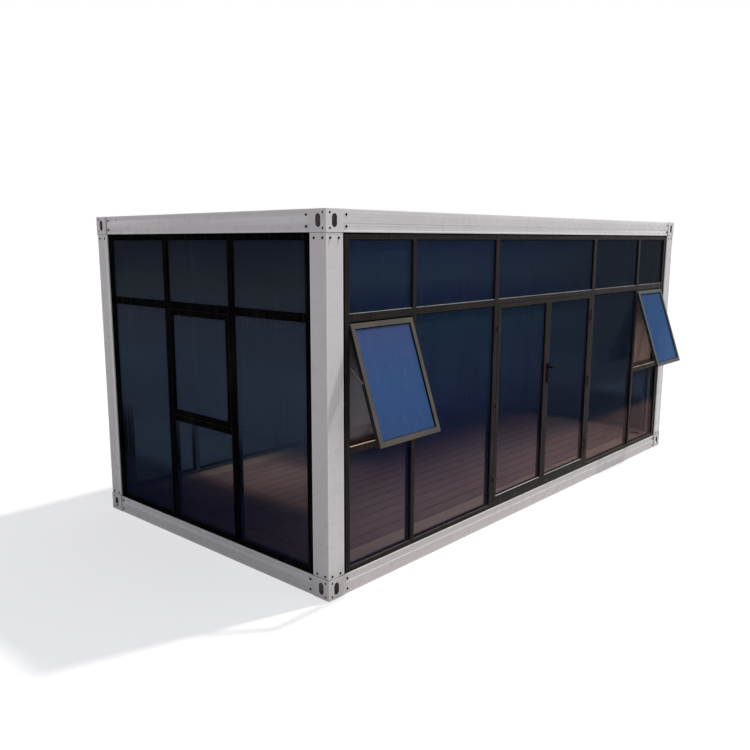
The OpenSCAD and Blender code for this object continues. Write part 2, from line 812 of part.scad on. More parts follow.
corner_post(0, 0);  // front_left_post
corner_post(1, 0);  // front_right_post
corner_post(0, 1);  // back_left_post
corner_post(1, 1);  // back_right_post
top_fittings();
bottom_fittings();
top_beam(0);  // top_beam_front
top_beam(1);  // top_beam_left
top_beam(2);  // top_beam_back
top_beam(3);  // top_beam_right
bottom_beam(0);  // bottom_beam_front
bottom_beam(1);  // bottom_beam_left
bottom_beam(2);  // bottom_beam_back
bottom_beam(3);  // bottom_beam_right
floor_joists();
floor_panel();
underside_sheet();
roof_joists();
roof_sheet();
ceiling_panel();
front_mullions();
front_rails();
panes(0, front_cells);  // front_glass
back_mullions();
back_rails();
panes(2, back_cells);  // back_glass
end_mullions(1);  // left_mullions
end_rails(1);  // left_rails
panes(1, end_cells);  // left_glass
end_mullions(3);  // right_mullions
end_rails(3);  // right_rails
panes(3, end_cells);  // right_glass
post_seals();
window_linings();
end_sashes();
end_sash_glass();
open_sash(0);  // front_left_sash
open_sash(1);  // front_right_sash
open_sash_glass();
window_stays();
fly_screens();
leaf(-1);  // left_door
leaf(1);  // right_door
leaf_pane(-1);  // left_door_glass
leaf_pane(1);  // right_door_glass
hinge_pins();
door_hinges(-1);  // left_door_hinges
door_hinges(1);  // right_door_hinges
handle_plate();
door_handle();
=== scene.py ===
"""Looks of the glazed container cabin: finishes, boards, bolts, rubber, beads, light and camera."""

import math
import random

import bmesh
import bpy
from mathutils import Matrix, Vector


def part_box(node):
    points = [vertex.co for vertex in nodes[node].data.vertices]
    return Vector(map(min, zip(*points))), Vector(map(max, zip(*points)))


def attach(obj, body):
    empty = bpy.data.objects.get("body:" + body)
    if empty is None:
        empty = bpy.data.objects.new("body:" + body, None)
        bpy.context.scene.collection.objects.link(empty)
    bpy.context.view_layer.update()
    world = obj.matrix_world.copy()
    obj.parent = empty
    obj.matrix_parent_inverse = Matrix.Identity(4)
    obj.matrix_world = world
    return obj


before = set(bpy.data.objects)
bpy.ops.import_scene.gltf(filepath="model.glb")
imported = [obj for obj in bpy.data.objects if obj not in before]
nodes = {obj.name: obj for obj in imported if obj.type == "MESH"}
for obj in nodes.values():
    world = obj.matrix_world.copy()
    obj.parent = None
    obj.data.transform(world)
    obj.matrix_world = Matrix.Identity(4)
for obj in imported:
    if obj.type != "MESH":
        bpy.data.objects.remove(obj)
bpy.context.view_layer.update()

# ---- sizes, in metres -------------------------------------------------------

CABIN = "cabin"
LEFT_LEAF = "left_leaf"
RIGHT_LEAF = "right_leaf"

half_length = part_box("top_fittings")[1].x
half_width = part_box("top_fittings")[1].y
cabin_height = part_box("top_fittings")[1].z
floor_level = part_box("floor_panel")[1].z
post_low, post_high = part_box("front_left_post")
fitting_width = half_length + post_high.x      # a post's inner edge, from the cabin's end
steel_recess = half_length + post_low.x        # posts and beams lie this far behind the fittings

# depth of the panes behind the face of the bars
glass_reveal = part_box("front_glass")[0].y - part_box("front_rails")[0].y

FITTING_PLATE = 0.0075             # a little less than a fitting's plate thickness
GLASS_BITE = 0.007                 # how far a pane enters its bar
POST_BOLTS = (0.041, 0.124)        # from the cabin's corner
POST_BOLT_LOW = 0.024              # above the post's lower end
POST_BOLT_HIGH = 0.038             # below the post's upper end
BEAM_BOLT_IN = 0.034               # from the beam's end
BEAM_BOLT_Z = 0.040                # above and below the beam's middle
BORDER_WIDTH = 0.190               # floor boards along the walls
SAME_POINT = 0.00001               # corners this close are one

# where one finish gives way to the next
CHANGE = 0.001                     # depth over which it does
SLOT_LIP = (0.0008, 0.0020)        # a slot in a fitting is painted dark as shade between these depths
LEDGE_DEPTH = 0.026                # dust and a painted highlight lie on the bars' ledges in to this depth in the wall
HIGHLIGHT_LIP = 0.026                   # the linings' outer lip has a painted highlight in to this depth
ROOM_TONE_DEPTH = 0.038            # behind the panes the bars have their room side's colour
LOWEST_BEADS = 0.22                # the walls' lowest beads end below this height
SILL_REACH = 1.15                  # a window's parts below this height belong to its sill
SHADED_LINING = 1.95               # the linings are painted black as shade above this height
DARKER_LOW_DOWN = (0.30, 0.10)       # the steel grows darker and warmer between these heights, downwards
MESH_HALF = 0.0005                 # half the thickness of the fly screens' mesh sheet
MESH_PITCH = 0.0016                # from thread to thread
MESH_OPEN = 0.40                   # sine of the point where a thread's edge begins

# ---- tones: red, green, blue and alpha --------------------------------------

WHITE = (1.0, 1.0, 1.0, 1.0)
# tone of dust, also used for the painted highlight on the bars' ledges
DUST_AND_HIGHLIGHT = (0.46, 0.43, 0.39, 1.0)
DIRT = (0.20, 0.17, 0.14, 1.0)
# tone of the painted shadows below the bolt heads
BOLT_SHADOW_TONE = (0.30, 0.29, 0.29, 1.0)

# the two tones of each patchy finish
STEEL_TONES = ((0.62, 0.585, 0.575, 1.0), (0.585, 0.545, 0.545, 1.0))
ROOF_TONES = ((0.50, 0.50, 0.495, 1.0), (0.44, 0.44, 0.435, 1.0))
CEILING_TONES = ((0.62, 0.61, 0.60, 1.0), (0.56, 0.55, 0.54, 1.0))
BAR_TONES = ((0.018, 0.014, 0.012, 1.0), (0.013, 0.010, 0.009, 1.0))
# the ends' bars, near black as painted shade
SHADED_END_BAR_TONES = ((0.0032, 0.0030, 0.0034, 1.0), (0.0024, 0.0022, 0.0025, 1.0))
ROOM_SIDE_TONES = ((0.26, 0.31, 0.37, 1.0), (0.22, 0.27, 0.33, 1.0))
# the hinges, painted lighter than the bars against their own shade
LIGHTENED_HINGE_TONES = ((0.052, 0.044, 0.040, 1.0), (0.042, 0.036, 0.033, 1.0))
LINING_TONES = ((0.030, 0.017, 0.013, 1.0), (0.020, 0.012, 0.010, 1.0))
SASH_TONES = ((0.088, 0.076, 0.060, 1.0), (0.070, 0.061, 0.050, 1.0))
RUBBER_TONES = ((0.0015, 0.0015, 0.0017, 1.0), (0.003, 0.003, 0.003, 1.0))
SEALANT_TONES = ((0.12, 0.115, 0.115, 1.0), (0.08, 0.075, 0.075, 1.0))
# grey of the sill beads, a painted highlight
SILL_HIGHLIGHT_TONES = ((0.40, 0.395, 0.39, 1.0), (0.30, 0.295, 0.29, 1.0))
STAY_TONES = ((0.170, 0.125, 0.108, 1.0), (0.135, 0.100, 0.090, 1.0))
HARDWARE_TONES = ((0.0012, 0.0012, 0.0014, 1.0), (0.0026, 0.0024, 0.0024, 1.0))
SCREEN_FRAME_TONES = ((0.085, 0.070, 0.068, 1.0), (0.070, 0.058, 0.056, 1.0))
THREAD_TONES = ((0.185, 0.160, 0.170, 1.0), (0.145, 0.125, 0.132, 1.0))

RAIN_MARK = (0.52, 0.46, 0.47, 1.0)            # on the white steel
LOW_DOWN_TONE = (0.53, 0.475, 0.46, 1.0)               # darker, warmer tone of the white steel near the ground
EDGE_HIGHLIGHT_STEEL = (0.76, 0.75, 0.74, 1.0)         # painted highlight along its edges
SLOT_SHADE = (0.008, 0.007, 0.007, 1.0)        # painted shade on a slot's own faces
UPPER_PRIMER = (0.34, 0.28, 0.28, 1.0)         # inside the upper fittings
BOUNCE_LIT_PRIMER = (0.50, 0.44, 0.43, 1.0)         # inside the lower fittings, painted lighter as light from the ground
DULL_ZINC = (0.36, 0.37, 0.38, 1.0)
BRIGHT_ZINC = (0.52, 0.53, 0.54, 1.0)
# the linings' painted shade, and the painted highlight on their sill lip
SHADE_BLACK_LINING = (0.003, 0.003, 0.003, 1.0)
SILL_LIP_HIGHLIGHT = (0.62, 0.44, 0.33, 1.0)
# painted shade on the open sashes' sides
SHADED_SASH_SIDES = (0.010, 0.009, 0.008, 1.0)
RIGHT_SASH = (0.050, 0.062, 0.075, 1.0)
# painted highlight on the open sashes' bottom ledge
SASH_LEDGE_HIGHLIGHT = (0.42, 0.41, 0.55, 1.0)
RAIN_ON_GLASS = (0.20, 0.24, 0.32, 1.0)
LOWEST_SILL = (0.060, 0.046, 0.040, 1.0)
SUNLIT_RIGHT_THREADS = (0.36, 0.23, 0.18, 1.0)        # painted sunlight on the right window's fly screen
PALE_GRAIN = (0.47, 0.245, 0.185, 1.0)
DARK_GRAIN = (0.37, 0.185, 0.145, 1.0)
DARK_BOARD = (0.30, 0.15, 0.125, 1.0)
WORN_WOOD = (0.46, 0.34, 0.29, 1.0)
BORDER_WOOD = (0.74, 0.43, 0.29, 1.0)


# ---- node trees -------------------------------------------------------------

class Tree:
    """Adds nodes to a node tree and joins them."""

    def __init__(self, tree):
        self.tree = tree

    def add(self, kind, **settings):
        made = self.tree.nodes.new("ShaderNode" + kind)
        for name, value in settings.items():
            setattr(made, name, value)
        return made

    def put(self, target, value):
        """Links an output to the target socket, or sets the socket's own value."""
        if isinstance(value, bpy.types.NodeSocket):
            self.tree.links.new(value, target)
        else:
            target.default_value = value

    def maths(self, operation, a, b=0.0):
        made = self.add("Math", operation=operation)
        self.put(made.inputs[0], a)
        self.put(made.inputs[1], b)
        return made.outputs[0]

    def between(self, value, low, high):
        """0 at low, 1 at high, with smooth ends."""
        made = self.add("MapRange", interpolation_type="SMOOTHSTEP")
        self.put(made.inputs["Value"], value)
        self.put(made.inputs["From Min"], low)
        self.put(made.inputs["From Max"], high)
        return made.outputs["Result"]

    def mix(self, share, a, b):
        made = self.add("Mix", data_type="RGBA")
        self.put(made.inputs[0], share)
        self.put(made.inputs[6], a)
        self.put(made.inputs[7], b)
        return made.outputs[2]

    def lay(self, under, over, mask, share):
        """Lays one colour over another where the mask is, at a share of full strength."""
        return self.mix(self.maths("MULTIPLY", mask, share), under, over)

    def place(self):
        """The point in the cabin's frame, in metres."""
        return self.add("TexCoord").outputs["Object"]

    def split(self, vector):
        made = self.add("SeparateXYZ")
        self.put(made.inputs[0], vector)
        return made.outputs

    def height(self):
        """The point's height above the ground."""
        return self.split(self.place())[2]

    def facing(self):
        """How far the face looks along x, y and z, from -1 to 1."""
        return self.split(self.add("NewGeometry").outputs["Normal"])

    def stretched(self, vector, scale):
        made = self.add("Mapping")
        self.put(made.inputs["Vector"], vector)
        made.inputs["Scale"].default_value = scale
        return made.outputs["Vector"]

    def noise(self, vector, scale, detail=3.0, roughness=0.55):
        made = self.add("TexNoise")
        self.put(made.inputs["Vector"], vector)
        self.put(made.inputs["Scale"], scale)
        self.put(made.inputs["Detail"], detail)
        self.put(made.inputs["Roughness"], roughness)
        return made.outputs["Fac"]

    def effect(self, group, **values):
        """Places a node group; spaces in a socket's name are written as underscores."""
        made = self.add("Group", node_tree=group)
        for name, value in values.items():
            self.put(made.inputs[name.replace("_", " ")], value)
        return made.outputs


FLOAT = "NodeSocketFloat"
COLOUR = "NodeSocketColor"


def new_effect(name, inputs, outputs):
    """An empty node group with named sockets: inputs have default values, outputs have kinds."""
    group = bpy.data.node_groups.new(name, "ShaderNodeTree")
    for label, value in inputs.items():
        kind = COLOUR if isinstance(value, tuple) else FLOAT
        socket = group.interface.new_socket(name=label, in_out="INPUT", socket_type=kind)
        socket.default_value = value
    for label, kind in outputs.items():
        group.interface.new_socket(name=label, in_out="OUTPUT", socket_type=kind)
    start = group.nodes.new("NodeGroupInput")
    end = group.nodes.new("NodeGroupOutput")
    return group, Tree(group), start.outputs, end.inputs


def make_patchy_colour():
    """Two tones of one finish in soft patches."""
    group, t, given, result = new_effect(
        "Patchy colour",
        {"Tone": (0.5, 0.5, 0.5, 1.0), "Other Tone": (0.4, 0.4, 0.4, 1.0), "Patches": 2.0},
        {"Colour": COLOUR})
    patches = t.between(t.noise(t.place(), given["Patches"], 4.0), 0.35, 0.65)
    t.put(result["Colour"], t.mix(patches, given["Tone"], given["Other Tone"]))
    return group


def make_edge_highlights():
    """Mask of the outer edges, broken up, where a painted highlight lies."""
    group, t, given, result = new_effect("Edge highlights", {"Width": 0.003, "Break": 30.0}, {"Mask": FLOAT})
    rounded = t.add("Bevel", samples=4)
    t.put(rounded.inputs["Radius"], given["Width"])
    meeting = t.add("VectorMath", operation="DOT_PRODUCT")
    t.put(meeting.inputs[0], rounded.outputs["Normal"])
    t.put(meeting.inputs[1], t.add("NewGeometry").outputs["Normal"])
    edge = t.between(meeting.outputs["Value"], 0.995, 0.88)
    gaps = t.between(t.noise(t.place(), given["Break"], 4.0), 0.12, 0.46)
    t.put(result["Mask"], t.maths("MULTIPLY", edge, gaps))
    return group


def make_settled_dust_and_highlight():
    """Mask of faces that look up, in patches: settled dust, and on the bars' and sashes' ledges a painted
    highlight.
    """
    group, t, given, result = new_effect("Settled dust and highlight", {"Patches": 5.0}, {"Mask": FLOAT})
    upwards = t.between(t.facing()[2], 0.55, 0.95)
    patches = t.between(t.noise(t.place(), given["Patches"], 5.0), 0.25, 0.75)
    t.put(result["Mask"], t.maths("MULTIPLY", upwards, patches))
    return group


def make_rain_streaks():
    """Mask of faint upright marks that rain leaves on walls."""
    group, t, given, result = new_effect("Rain streaks", {"Spacing": 22.0}, {"Mask": FLOAT})
    across = t.stretched(t.place(), (1.0, 1.0, 0.03))
    streaks = t.between(t.noise(across, given["Spacing"], 5.0, 0.65), 0.50, 0.74)
    wall = t.between(t.maths("ABSOLUTE", t.facing()[2]), 0.5, 0.1)
    t.put(result["Mask"], t.maths("MULTIPLY", streaks, wall))
    return group


def make_ground_splash():
    """Mask of dirt splashed up from the ground, fading out at a ragged height."""
    group, t, given, result = new_effect("Ground splash", {"Height": 0.25}, {"Mask": FLOAT})
    ragged = t.maths("MULTIPLY", t.noise(t.place(), 9.0, 5.0), 0.12)
    level = t.maths("SUBTRACT", t.height(), ragged)
    share = t.between(t.maths("DIVIDE", level, given["Height"]), 1.0, 0.0)
    grain = t.between(t.noise(t.place(), 60.0, 3.0), -0.8, 1.0)
    t.put(result["Mask"], t.maths("MULTIPLY", share, grain))
    return group


def make_bolt_shadow():
    """Mask of one painted shadow below a bolt head, drawn like a drip mark: Along is the level distance
    from the bolt.
    """
    group, t, given, result = new_effect(
        "Bolt shadow", {"Along": 0.0, "Height": 0.0, "Bolt Height": 1.0, "Length": 0.075, "Width": 0.008},
        {"Mask": FLOAT})
    below = t.maths("SUBTRACT", given["Bolt Height"], given["Height"])
    share = t.maths("DIVIDE", below, given["Length"])
    lean = t.maths("MULTIPLY", below, 0.30)
    across = t.maths("ABSOLUTE", t.maths("ADD", given["Along"], lean))
    side = t.between(t.maths("DIVIDE", across, given["Width"]), 1.0, 0.35)
    start = t.between(share, 0.0, 0.15)
    fade = t.between(share, 1.0, 0.35)
    t.put(result["Mask"], t.maths("MULTIPLY", side, t.maths("MULTIPLY", start, fade)))
    return group


def make_coat_grain():
    """Height of the fine orange peel of a sprayed or powder-coated finish."""
    group, t, given, result = new_effect("Coat grain", {"Size": 900.0}, {"Height": FLOAT})
    fine = t.noise(t.place(), given["Size"], 2.0)
    slow = t.noise(t.place(), 6.0, 2.0)
    t.put(result["Height"], t.maths("ADD", fine, t.maths("MULTIPLY", slow, 1.5)))
    return group


patchy_colour = make_patchy_colour()
edge_highlights = make_edge_highlights()
settled_dust_and_highlight = make_settled_dust_and_highlight()
rain_streaks = make_rain_streaks()
ground_splash = make_ground_splash()
bolt_shadow = make_bolt_shadow()
coat_grain = make_coat_grain()


def new_material(name):
    """A material with one Principled shader, its tree and that shader."""
    material = bpy.data.materials.new(name)
    material.use_nodes = True
    material.node_tree.nodes.clear()
    t = Tree(material.node_tree)
    shader = t.add("BsdfPrincipled")
    out = t.add("OutputMaterial")
    t.put(out.inputs["Surface"], shader.outputs[0])
    return material, t, shader


def set_shader(shader, **values):
    """Sets sockets that are the same all over; spaces in a name are written as underscores."""
    for name, value in values.items():
        shader.inputs[name.replace("_", " ")].default_value = value


def bump(t, shader, height, distance, strength):
    """Gives a finish the fine relief of a height."""
    made = t.add("Bump")
    made.inputs["Strength"].default_value = strength
    made.inputs["Distance"].default_value = distance
    t.put(made.inputs["Height"], height)
    t.put(shader.inputs["Normal"], made.outputs["Normal"])


def coat(t, tones, patches):
    """A finish's two tones in soft patches, so many to a metre."""
    tone, other_tone = tones
    return t.effect(patchy_colour, Tone=tone, Other_Tone=other_tone, Patches=patches)["Colour"]


def dust_and_highlight_mask(t, patches):
    """Settled dust, also laid as a painted highlight on ledges, with so many patches to a metre."""
    return t.effect(settled_dust_and_highlight, Patches=patches)["Mask"]


def rain_mask(t, spacing):
    """Rain's marks, with so many to a metre."""
    return t.effect(rain_streaks, Spacing=spacing)["Mask"]


def uneven_sheen(t, shader, scale, smooth, rough, detail=3.0):
    """Roughness that wanders with a noise: it would be 0 at the level smooth and 1 at rough."""
    t.put(shader.inputs["Roughness"], t.between(t.noise(t.place(), scale, detail), smooth, rough))


def coated_bar(t, shader, specular):
    """Sheen and fine grain of the coated aluminium."""
    uneven_sheen(t, shader, 30.0, smooth=-0.9, rough=2.2, detail=4.0)
    set_shader(shader, Specular_IOR_Level=specular)
    bump(t, shader, t.effect(coat_grain, Size=1400.0)["Height"], distance=0.0002, strength=0.5)


def distance_in(t, axis, reach):
    """Distance in from the nearer of two walls at reach along an axis, 0 for x and 1 for y."""
    return t.maths("SUBTRACT", reach, t.maths("ABSOLUTE", t.split(t.place())[axis]))


def wall_depth(t):
    """Distance in from the cabin's nearest wall, level with the ground."""
    return t.maths("MINIMUM", distance_in(t, 0, half_length), distance_in(t, 1, half_width))


def fitting_depth(t):
    """Distance in from the nearest outer face of a corner fitting."""
    height = t.height()
    ends = t.maths("MINIMUM", height, t.maths("SUBTRACT", cabin_height, height))
    return t.maths("MINIMUM", wall_depth(t), ends)


def long_face(t):
    """1 on the upright faces along the cabin's length."""
    return t.between(t.maths("ABSOLUTE", t.facing()[1]), 0.5, 0.9)


def bolt_shadows(t):
    """Painted shadows of the posts' upper bolt heads, drawn like drip marks below them, on the long faces.
    """
    along = distance_in(t, 0, half_length)
    shadow_masks = [t.effect(bolt_shadow, Along=t.maths("SUBTRACT", along, bolt), Height=t.height(),
                      Bolt_Height=post_high.z - POST_BOLT_HIGH)["Mask"] for bolt in POST_BOLTS]
    return t.maths("MULTIPLY", t.maths("MAXIMUM", *shadow_masks), long_face(t))


def roomward(t):
    """1 on the faces of a wall's bars that look into the room."""
    place = t.split(t.place())
    normal = t.split(t.add("TexCoord").outputs["Normal"])
    inward = [t.maths("MULTIPLY", normal[i], t.maths("SIGN", place[i])) for i in (0, 1)]
    on_long_wall = t.maths("LESS_THAN", distance_in(t, 1, half_width), distance_in(t, 0, half_length))
    along = t.maths("MULTIPLY", inward[1], on_long_wall)
    across = t.maths("MULTIPLY", inward[0], t.maths("SUBTRACT", 1.0, on_long_wall))
    return t.between(t.maths("ADD", along, across), -0.3, -0.7)


# ---- finishes ---------------------------------------------------------------

def white_steel(name, inside):
    """Sprayed off-white steel, with a painted highlight along its edges, painted shadows below the posts'
    upper bolts and a darker, warmer tone near the ground on the long faces; where inside is true, the slots
    get painted shade and the hollow's own faces have only primer, painted lighter in the lower fittings as
    light from the ground.
    """
    material, t, shader = new_material(name)
    colour = t.lay(coat(t, STEEL_TONES, 0.9), RAIN_MARK, rain_mask(t, 16.0), 0.02)
    # darker and warmer near the ground, on the long faces
    near_ground = t.maths("MULTIPLY", t.between(t.height(), *DARKER_LOW_DOWN), long_face(t))
    colour = t.lay(colour, LOW_DOWN_TONE, near_ground, 0.6)
    splash_share = t.maths("ADD", t.maths("MULTIPLY", long_face(t), 0.20), 0.08)
    colour = t.lay(colour, DUST_AND_HIGHLIGHT, t.effect(ground_splash, Height=0.30)["Mask"], splash_share)
    # painted shadows of the bolt heads, slanting down below them
    colour = t.lay(colour, BOLT_SHADOW_TONE, bolt_shadows(t), 0.65)
    # painted highlight along the edges, broken up
    colour = t.lay(colour, EDGE_HIGHLIGHT_STEEL, t.effect(edge_highlights, Width=0.016, Break=2.0)["Mask"], 0.70)
    colour = t.lay(colour, DUST_AND_HIGHLIGHT, dust_and_highlight_mask(t, 6.0), 0.20)
    if inside:
        depth = fitting_depth(t)
        # painted shade on the slots' own faces
        colour = t.mix(t.between(depth, *SLOT_LIP), colour, SLOT_SHADE)
        # primer, painted lighter low down as light bounced from the ground
        primer_and_painted_bounce = t.mix(t.between(t.height(), 1.5, 1.0), UPPER_PRIMER, BOUNCE_LIT_PRIMER)
        colour = t.mix(t.between(depth, FITTING_PLATE - CHANGE / 2, FITTING_PLATE), colour, primer_and_painted_bounce)
    t.put(shader.inputs["Base Color"], colour)
    uneven_sheen(t, shader, 8.0, smooth=-0.6, rough=2.4, detail=4.0)
    set_shader(shader, Specular_IOR_Level=0.25)
    bump(t, shader, t.effect(coat_grain, Size=700.0)["Height"], distance=0.0003, strength=0.5)
    return material


def galvanised_steel():
    """Zinc-coated sheet of the joists and the underside."""
    material, t, shader = new_material("galvanised_steel")
    spangle = t.add("TexVoronoi", feature="F1")
    t.put(spangle.inputs["Vector"], t.place())
    spangle.inputs["Scale"].default_value = 55.0
    tone = t.split(spangle.outputs["Color"])[0]
    colour = t.mix(tone, DULL_ZINC, BRIGHT_ZINC)
    splash = t.effect(ground_splash, Height=0.15)["Mask"]
    t.put(shader.inputs["Base Color"], t.lay(colour, DIRT, splash, 0.5))
    t.put(shader.inputs["Roughness"], t.between(tone, -1.0, 2.2))
    set_shader(shader, Metallic=0.6)
    return material


def roof_paint():
    """Light grey coating of the roof sheet, with dust, and dirt washed along the ribs."""
    material, t, shader = new_material("roof_paint")
    dust = dust_and_highlight_mask(t, 2.5)
    colour = t.lay(coat(t, ROOF_TONES, 0.9), DUST_AND_HIGHLIGHT, dust, 0.55)
    along = t.stretched(t.place(), (1.0, 0.06, 1.0))
    washed = t.between(t.noise(along, 14.0, 5.0), 0.45, 0.75)
    t.put(shader.inputs["Base Color"], t.lay(colour, DIRT, washed, 0.25))
    t.put(shader.inputs["Roughness"], t.between(dust, -1.2, 1.6))
    set_shader(shader, Specular_IOR_Level=0.12)
    bump(t, shader, t.effect(coat_grain, Size=600.0)["Height"], distance=0.0006, strength=0.4)
    return material


PRESSED_LINES = 5.0                # to a metre of ceiling


def ceiling_paint():
    """Matt white ceiling sheet with pressed lines across the cabin."""
    material, t, shader = new_material("ceiling_paint")
    across = t.maths("FRACT", t.maths("MULTIPLY", t.split(t.place())[0], PRESSED_LINES))
    line = t.between(t.maths("ABSOLUTE", t.maths("SUBTRACT", across, 0.5)), 0.06, 0.02)
    # darker along the pressed lines
    t.put(shader.inputs["Base Color"], t.lay(coat(t, CEILING_TONES, 1.2), DUST_AND_HIGHLIGHT, line, 0.5))
    set_shader(shader, Roughness=0.6)
    bump(t, shader, t.maths("MULTIPLY", line, -1.0), distance=0.004, strength=0.8)
    return material


def dark_frame(name, tones, ledge_dust_and_highlight, specular):
    """Dark coated aluminium of the glazing bars and leaves, blue-grey towards the room, with dust and a
    painted highlight on the outer ledges.
    """
    material, t, shader = new_material(name)
    depth = wall_depth(t)
    outer_ledge = t.between(depth, LEDGE_DEPTH + CHANGE, LEDGE_DEPTH)
    # dust and painted highlight on the outer ledges
    dust = t.maths("MULTIPLY", dust_and_highlight_mask(t, 12.0), outer_ledge)
    colour = t.lay(coat(t, tones, 3.0), DUST_AND_HIGHLIGHT, dust, ledge_dust_and_highlight)
    colour = t.lay(colour, DUST_AND_HIGHLIGHT, rain_mask(t, 60.0), 0.04)
    behind = t.between(depth, ROOM_TONE_DEPTH, ROOM_TONE_DEPTH + CHANGE)
    room_side = coat(t, ROOM_SIDE_TONES, 1.5)
    t.put(shader.inputs["Base Color"], t.lay(colour, room_side, behind, roomward(t)))
    coated_bar(t, shader, specular)
    return material


def window_lining():
    """Dark brown linings, painted black as shade at the ends and up in front, with a painted highlight on
    the sill lip.
    """
    material, t, shader = new_material("window_lining")
    front = t.between(t.split(t.place())[1], -1.0, -1.2)
    shaded = t.between(t.height(), SHADED_LINING + 0.03, SHADED_LINING)
    # painted shade: black at the ends and up high
    colour = t.lay(SHADE_BLACK_LINING, coat(t, LINING_TONES, 4.0), front, shaded)
    upwards = t.between(t.facing()[2], 0.5, 0.9)
    lip = t.between(wall_depth(t), HIGHLIGHT_LIP + CHANGE, HIGHLIGHT_LIP)
    low = t.between(t.height(), SILL_REACH + 0.01, SILL_REACH)
    highlight_breaks = t.between(t.noise(t.place(), 5.0, 3.0), 0.15, 0.40)
    painted_highlight = t.maths("MULTIPLY", t.maths("MULTIPLY", lip, low), t.maths("MULTIPLY", upwards, highlight_breaks))
    # painted highlight on the sill lip, in front only
    t.put(shader.inputs["Base Color"], t.lay(colour, SILL_LIP_HIGHLIGHT, painted_highlight, front))
    coated_bar(t, shader, 0.03)
    return material


def sash_frame():
    """Frame of the open sashes: a lighter weathered face, black sides painted as shade, and a painted
    highlight on the bottom ledge.
    """
    material, t, shader = new_material("sash_frame")
    face = t.between(t.maths("ABSOLUTE", t.facing()[1]), 0.60, 0.85)
    # black sides as painted shade
    colour = t.mix(face, SHADED_SASH_SIDES, coat(t, SASH_TONES, 4.0))
    colour = t.lay(colour, RIGHT_SASH, t.between(t.split(t.place())[0], 0.0, 1.0), 0.6)
    foot = t.between(t.height(), SILL_REACH + 0.10, SILL_REACH)
    # painted highlight on the bottom ledge, laid with the dust mask
    dust = t.maths("MULTIPLY", dust_and_highlight_mask(t, 1.6), foot)
    t.put(shader.inputs["Base Color"], t.lay(colour, SASH_LEDGE_HIGHLIGHT, dust, 0.9))
    coated_bar(t, shader, 0.08)
    return material


def by_level(t, height, levels, reach=0.0):
    """Ramp over the height: levels are (height, value), a value being a colour or a number."""
    ragged = t.maths("MULTIPLY", t.maths("SUBTRACT", t.noise(t.place(), 0.7, 3.0), 0.5), reach)
    ramp = t.add("ValToRGB")
    t.put(ramp.inputs["Fac"], t.maths("DIVIDE", t.maths("ADD", height, ragged), cabin_height))
    stops = ramp.color_ramp.elements
    for i, (level, value) in enumerate(levels):
        stop = stops[i] if i < 2 else stops.new(1.0)
        stop.position = level / cabin_height
        stop.color = value if isinstance(value, tuple) else (value, value, value, 1.0)
    return ramp.outputs["Color"]


FAR_BEGINS = -1.8                  # along the cabin, where a pane's painted reflections start to change
FAR_REACHED = 2.4                  # and where it has its far tone
REFLECTION_SWAY = 0.25                   # by this much the heights of a film's painted reflections go up and down along a pane


def glass(name, tints_and_reflections, far_tint_and_reflections, clear, shares, streaked=0.05):
    """Pane with a film: its tint by height, with painted reflections and painted shade, another towards the
    far end, and its share of the look.
    """
    material, t, shader = new_material(name)
    height = t.height()
    far = t.between(t.split(t.place())[0], FAR_BEGINS, FAR_REACHED)
    # painted reflections and shade by height, changing towards the far end
    colour = t.mix(far, by_level(t, height, tints_and_reflections, REFLECTION_SWAY), by_level(t, height, far_tint_and_reflections))
    streaks = t.maths("MULTIPLY", rain_mask(t, 26.0), streaked)
    t.put(shader.inputs["Base Color"], t.mix(streaks, colour, RAIN_ON_GLASS))
    t.put(shader.inputs["Roughness"], t.maths("ADD", t.maths("MULTIPLY", streaks, 0.30), 0.05))
    set_shader(shader, IOR=1.08, Specular_IOR_Level=0.1)
    through = t.add("BsdfTransparent")
    through.inputs["Color"].default_value = clear
    both = t.add("MixShader")
    t.put(both.inputs["Fac"], by_level(t, height, shares))
    t.put(both.inputs[1], through.outputs[0])
    t.put(both.inputs[2], shader.outputs[0])
    t.put(t.tree.nodes["Material Output"].inputs["Surface"], both.outputs[0])
    return material


def rubber():
    """Black rubber of the glazing strips and post joints."""
    material, t, shader = new_material("rubber_seal")
    t.put(shader.inputs["Base Color"], t.lay(coat(t, RUBBER_TONES, 20.0), DUST_AND_HIGHLIGHT, dust_and_highlight_mask(t, 25.0), 0.08))
    set_shader(shader, Roughness=0.9, Specular_IOR_Level=0.01)
    return material


def seam_bead():
    """Grey sealant in the seams of the steel frame."""
    material, t, shader = new_material("seam_bead")
    t.put(shader.inputs["Base Color"], t.lay(coat(t, SEALANT_TONES, 14.0), DUST_AND_HIGHLIGHT, dust_and_highlight_mask(t, 20.0), 0.2))
    uneven_sheen(t, shader, 60.0, smooth=-1.2, rough=1.5)
    set_shader(shader, Specular_IOR_Level=0.1)
    return material


def sill_bead_highlight():
    """Grey painted highlight on the sloping beads below the panes, dark on the walls' lowest rail."""
    material, t, shader = new_material("sill_bead_highlight")
    foot = t.between(t.height(), LOWEST_BEADS + 0.01, LOWEST_BEADS)
    t.put(shader.inputs["Base Color"], t.mix(foot, coat(t, SILL_HIGHLIGHT_TONES, 2.0), LOWEST_SILL))
    uneven_sheen(t, shader, 60.0, smooth=-1.0, rough=1.8)
    set_shader(shader, Specular_IOR_Level=0.05)
    return material


def stay_steel():
    """Dull grey-brown steel of the window stays."""
    material, t, shader = new_material("stay_steel")
    t.put(shader.inputs["Base Color"], coat(t, STAY_TONES, 25.0))
    uneven_sheen(t, shader, 90.0, smooth=-0.6, rough=1.7)
    set_shader(shader, Metallic=0.2)
    return material


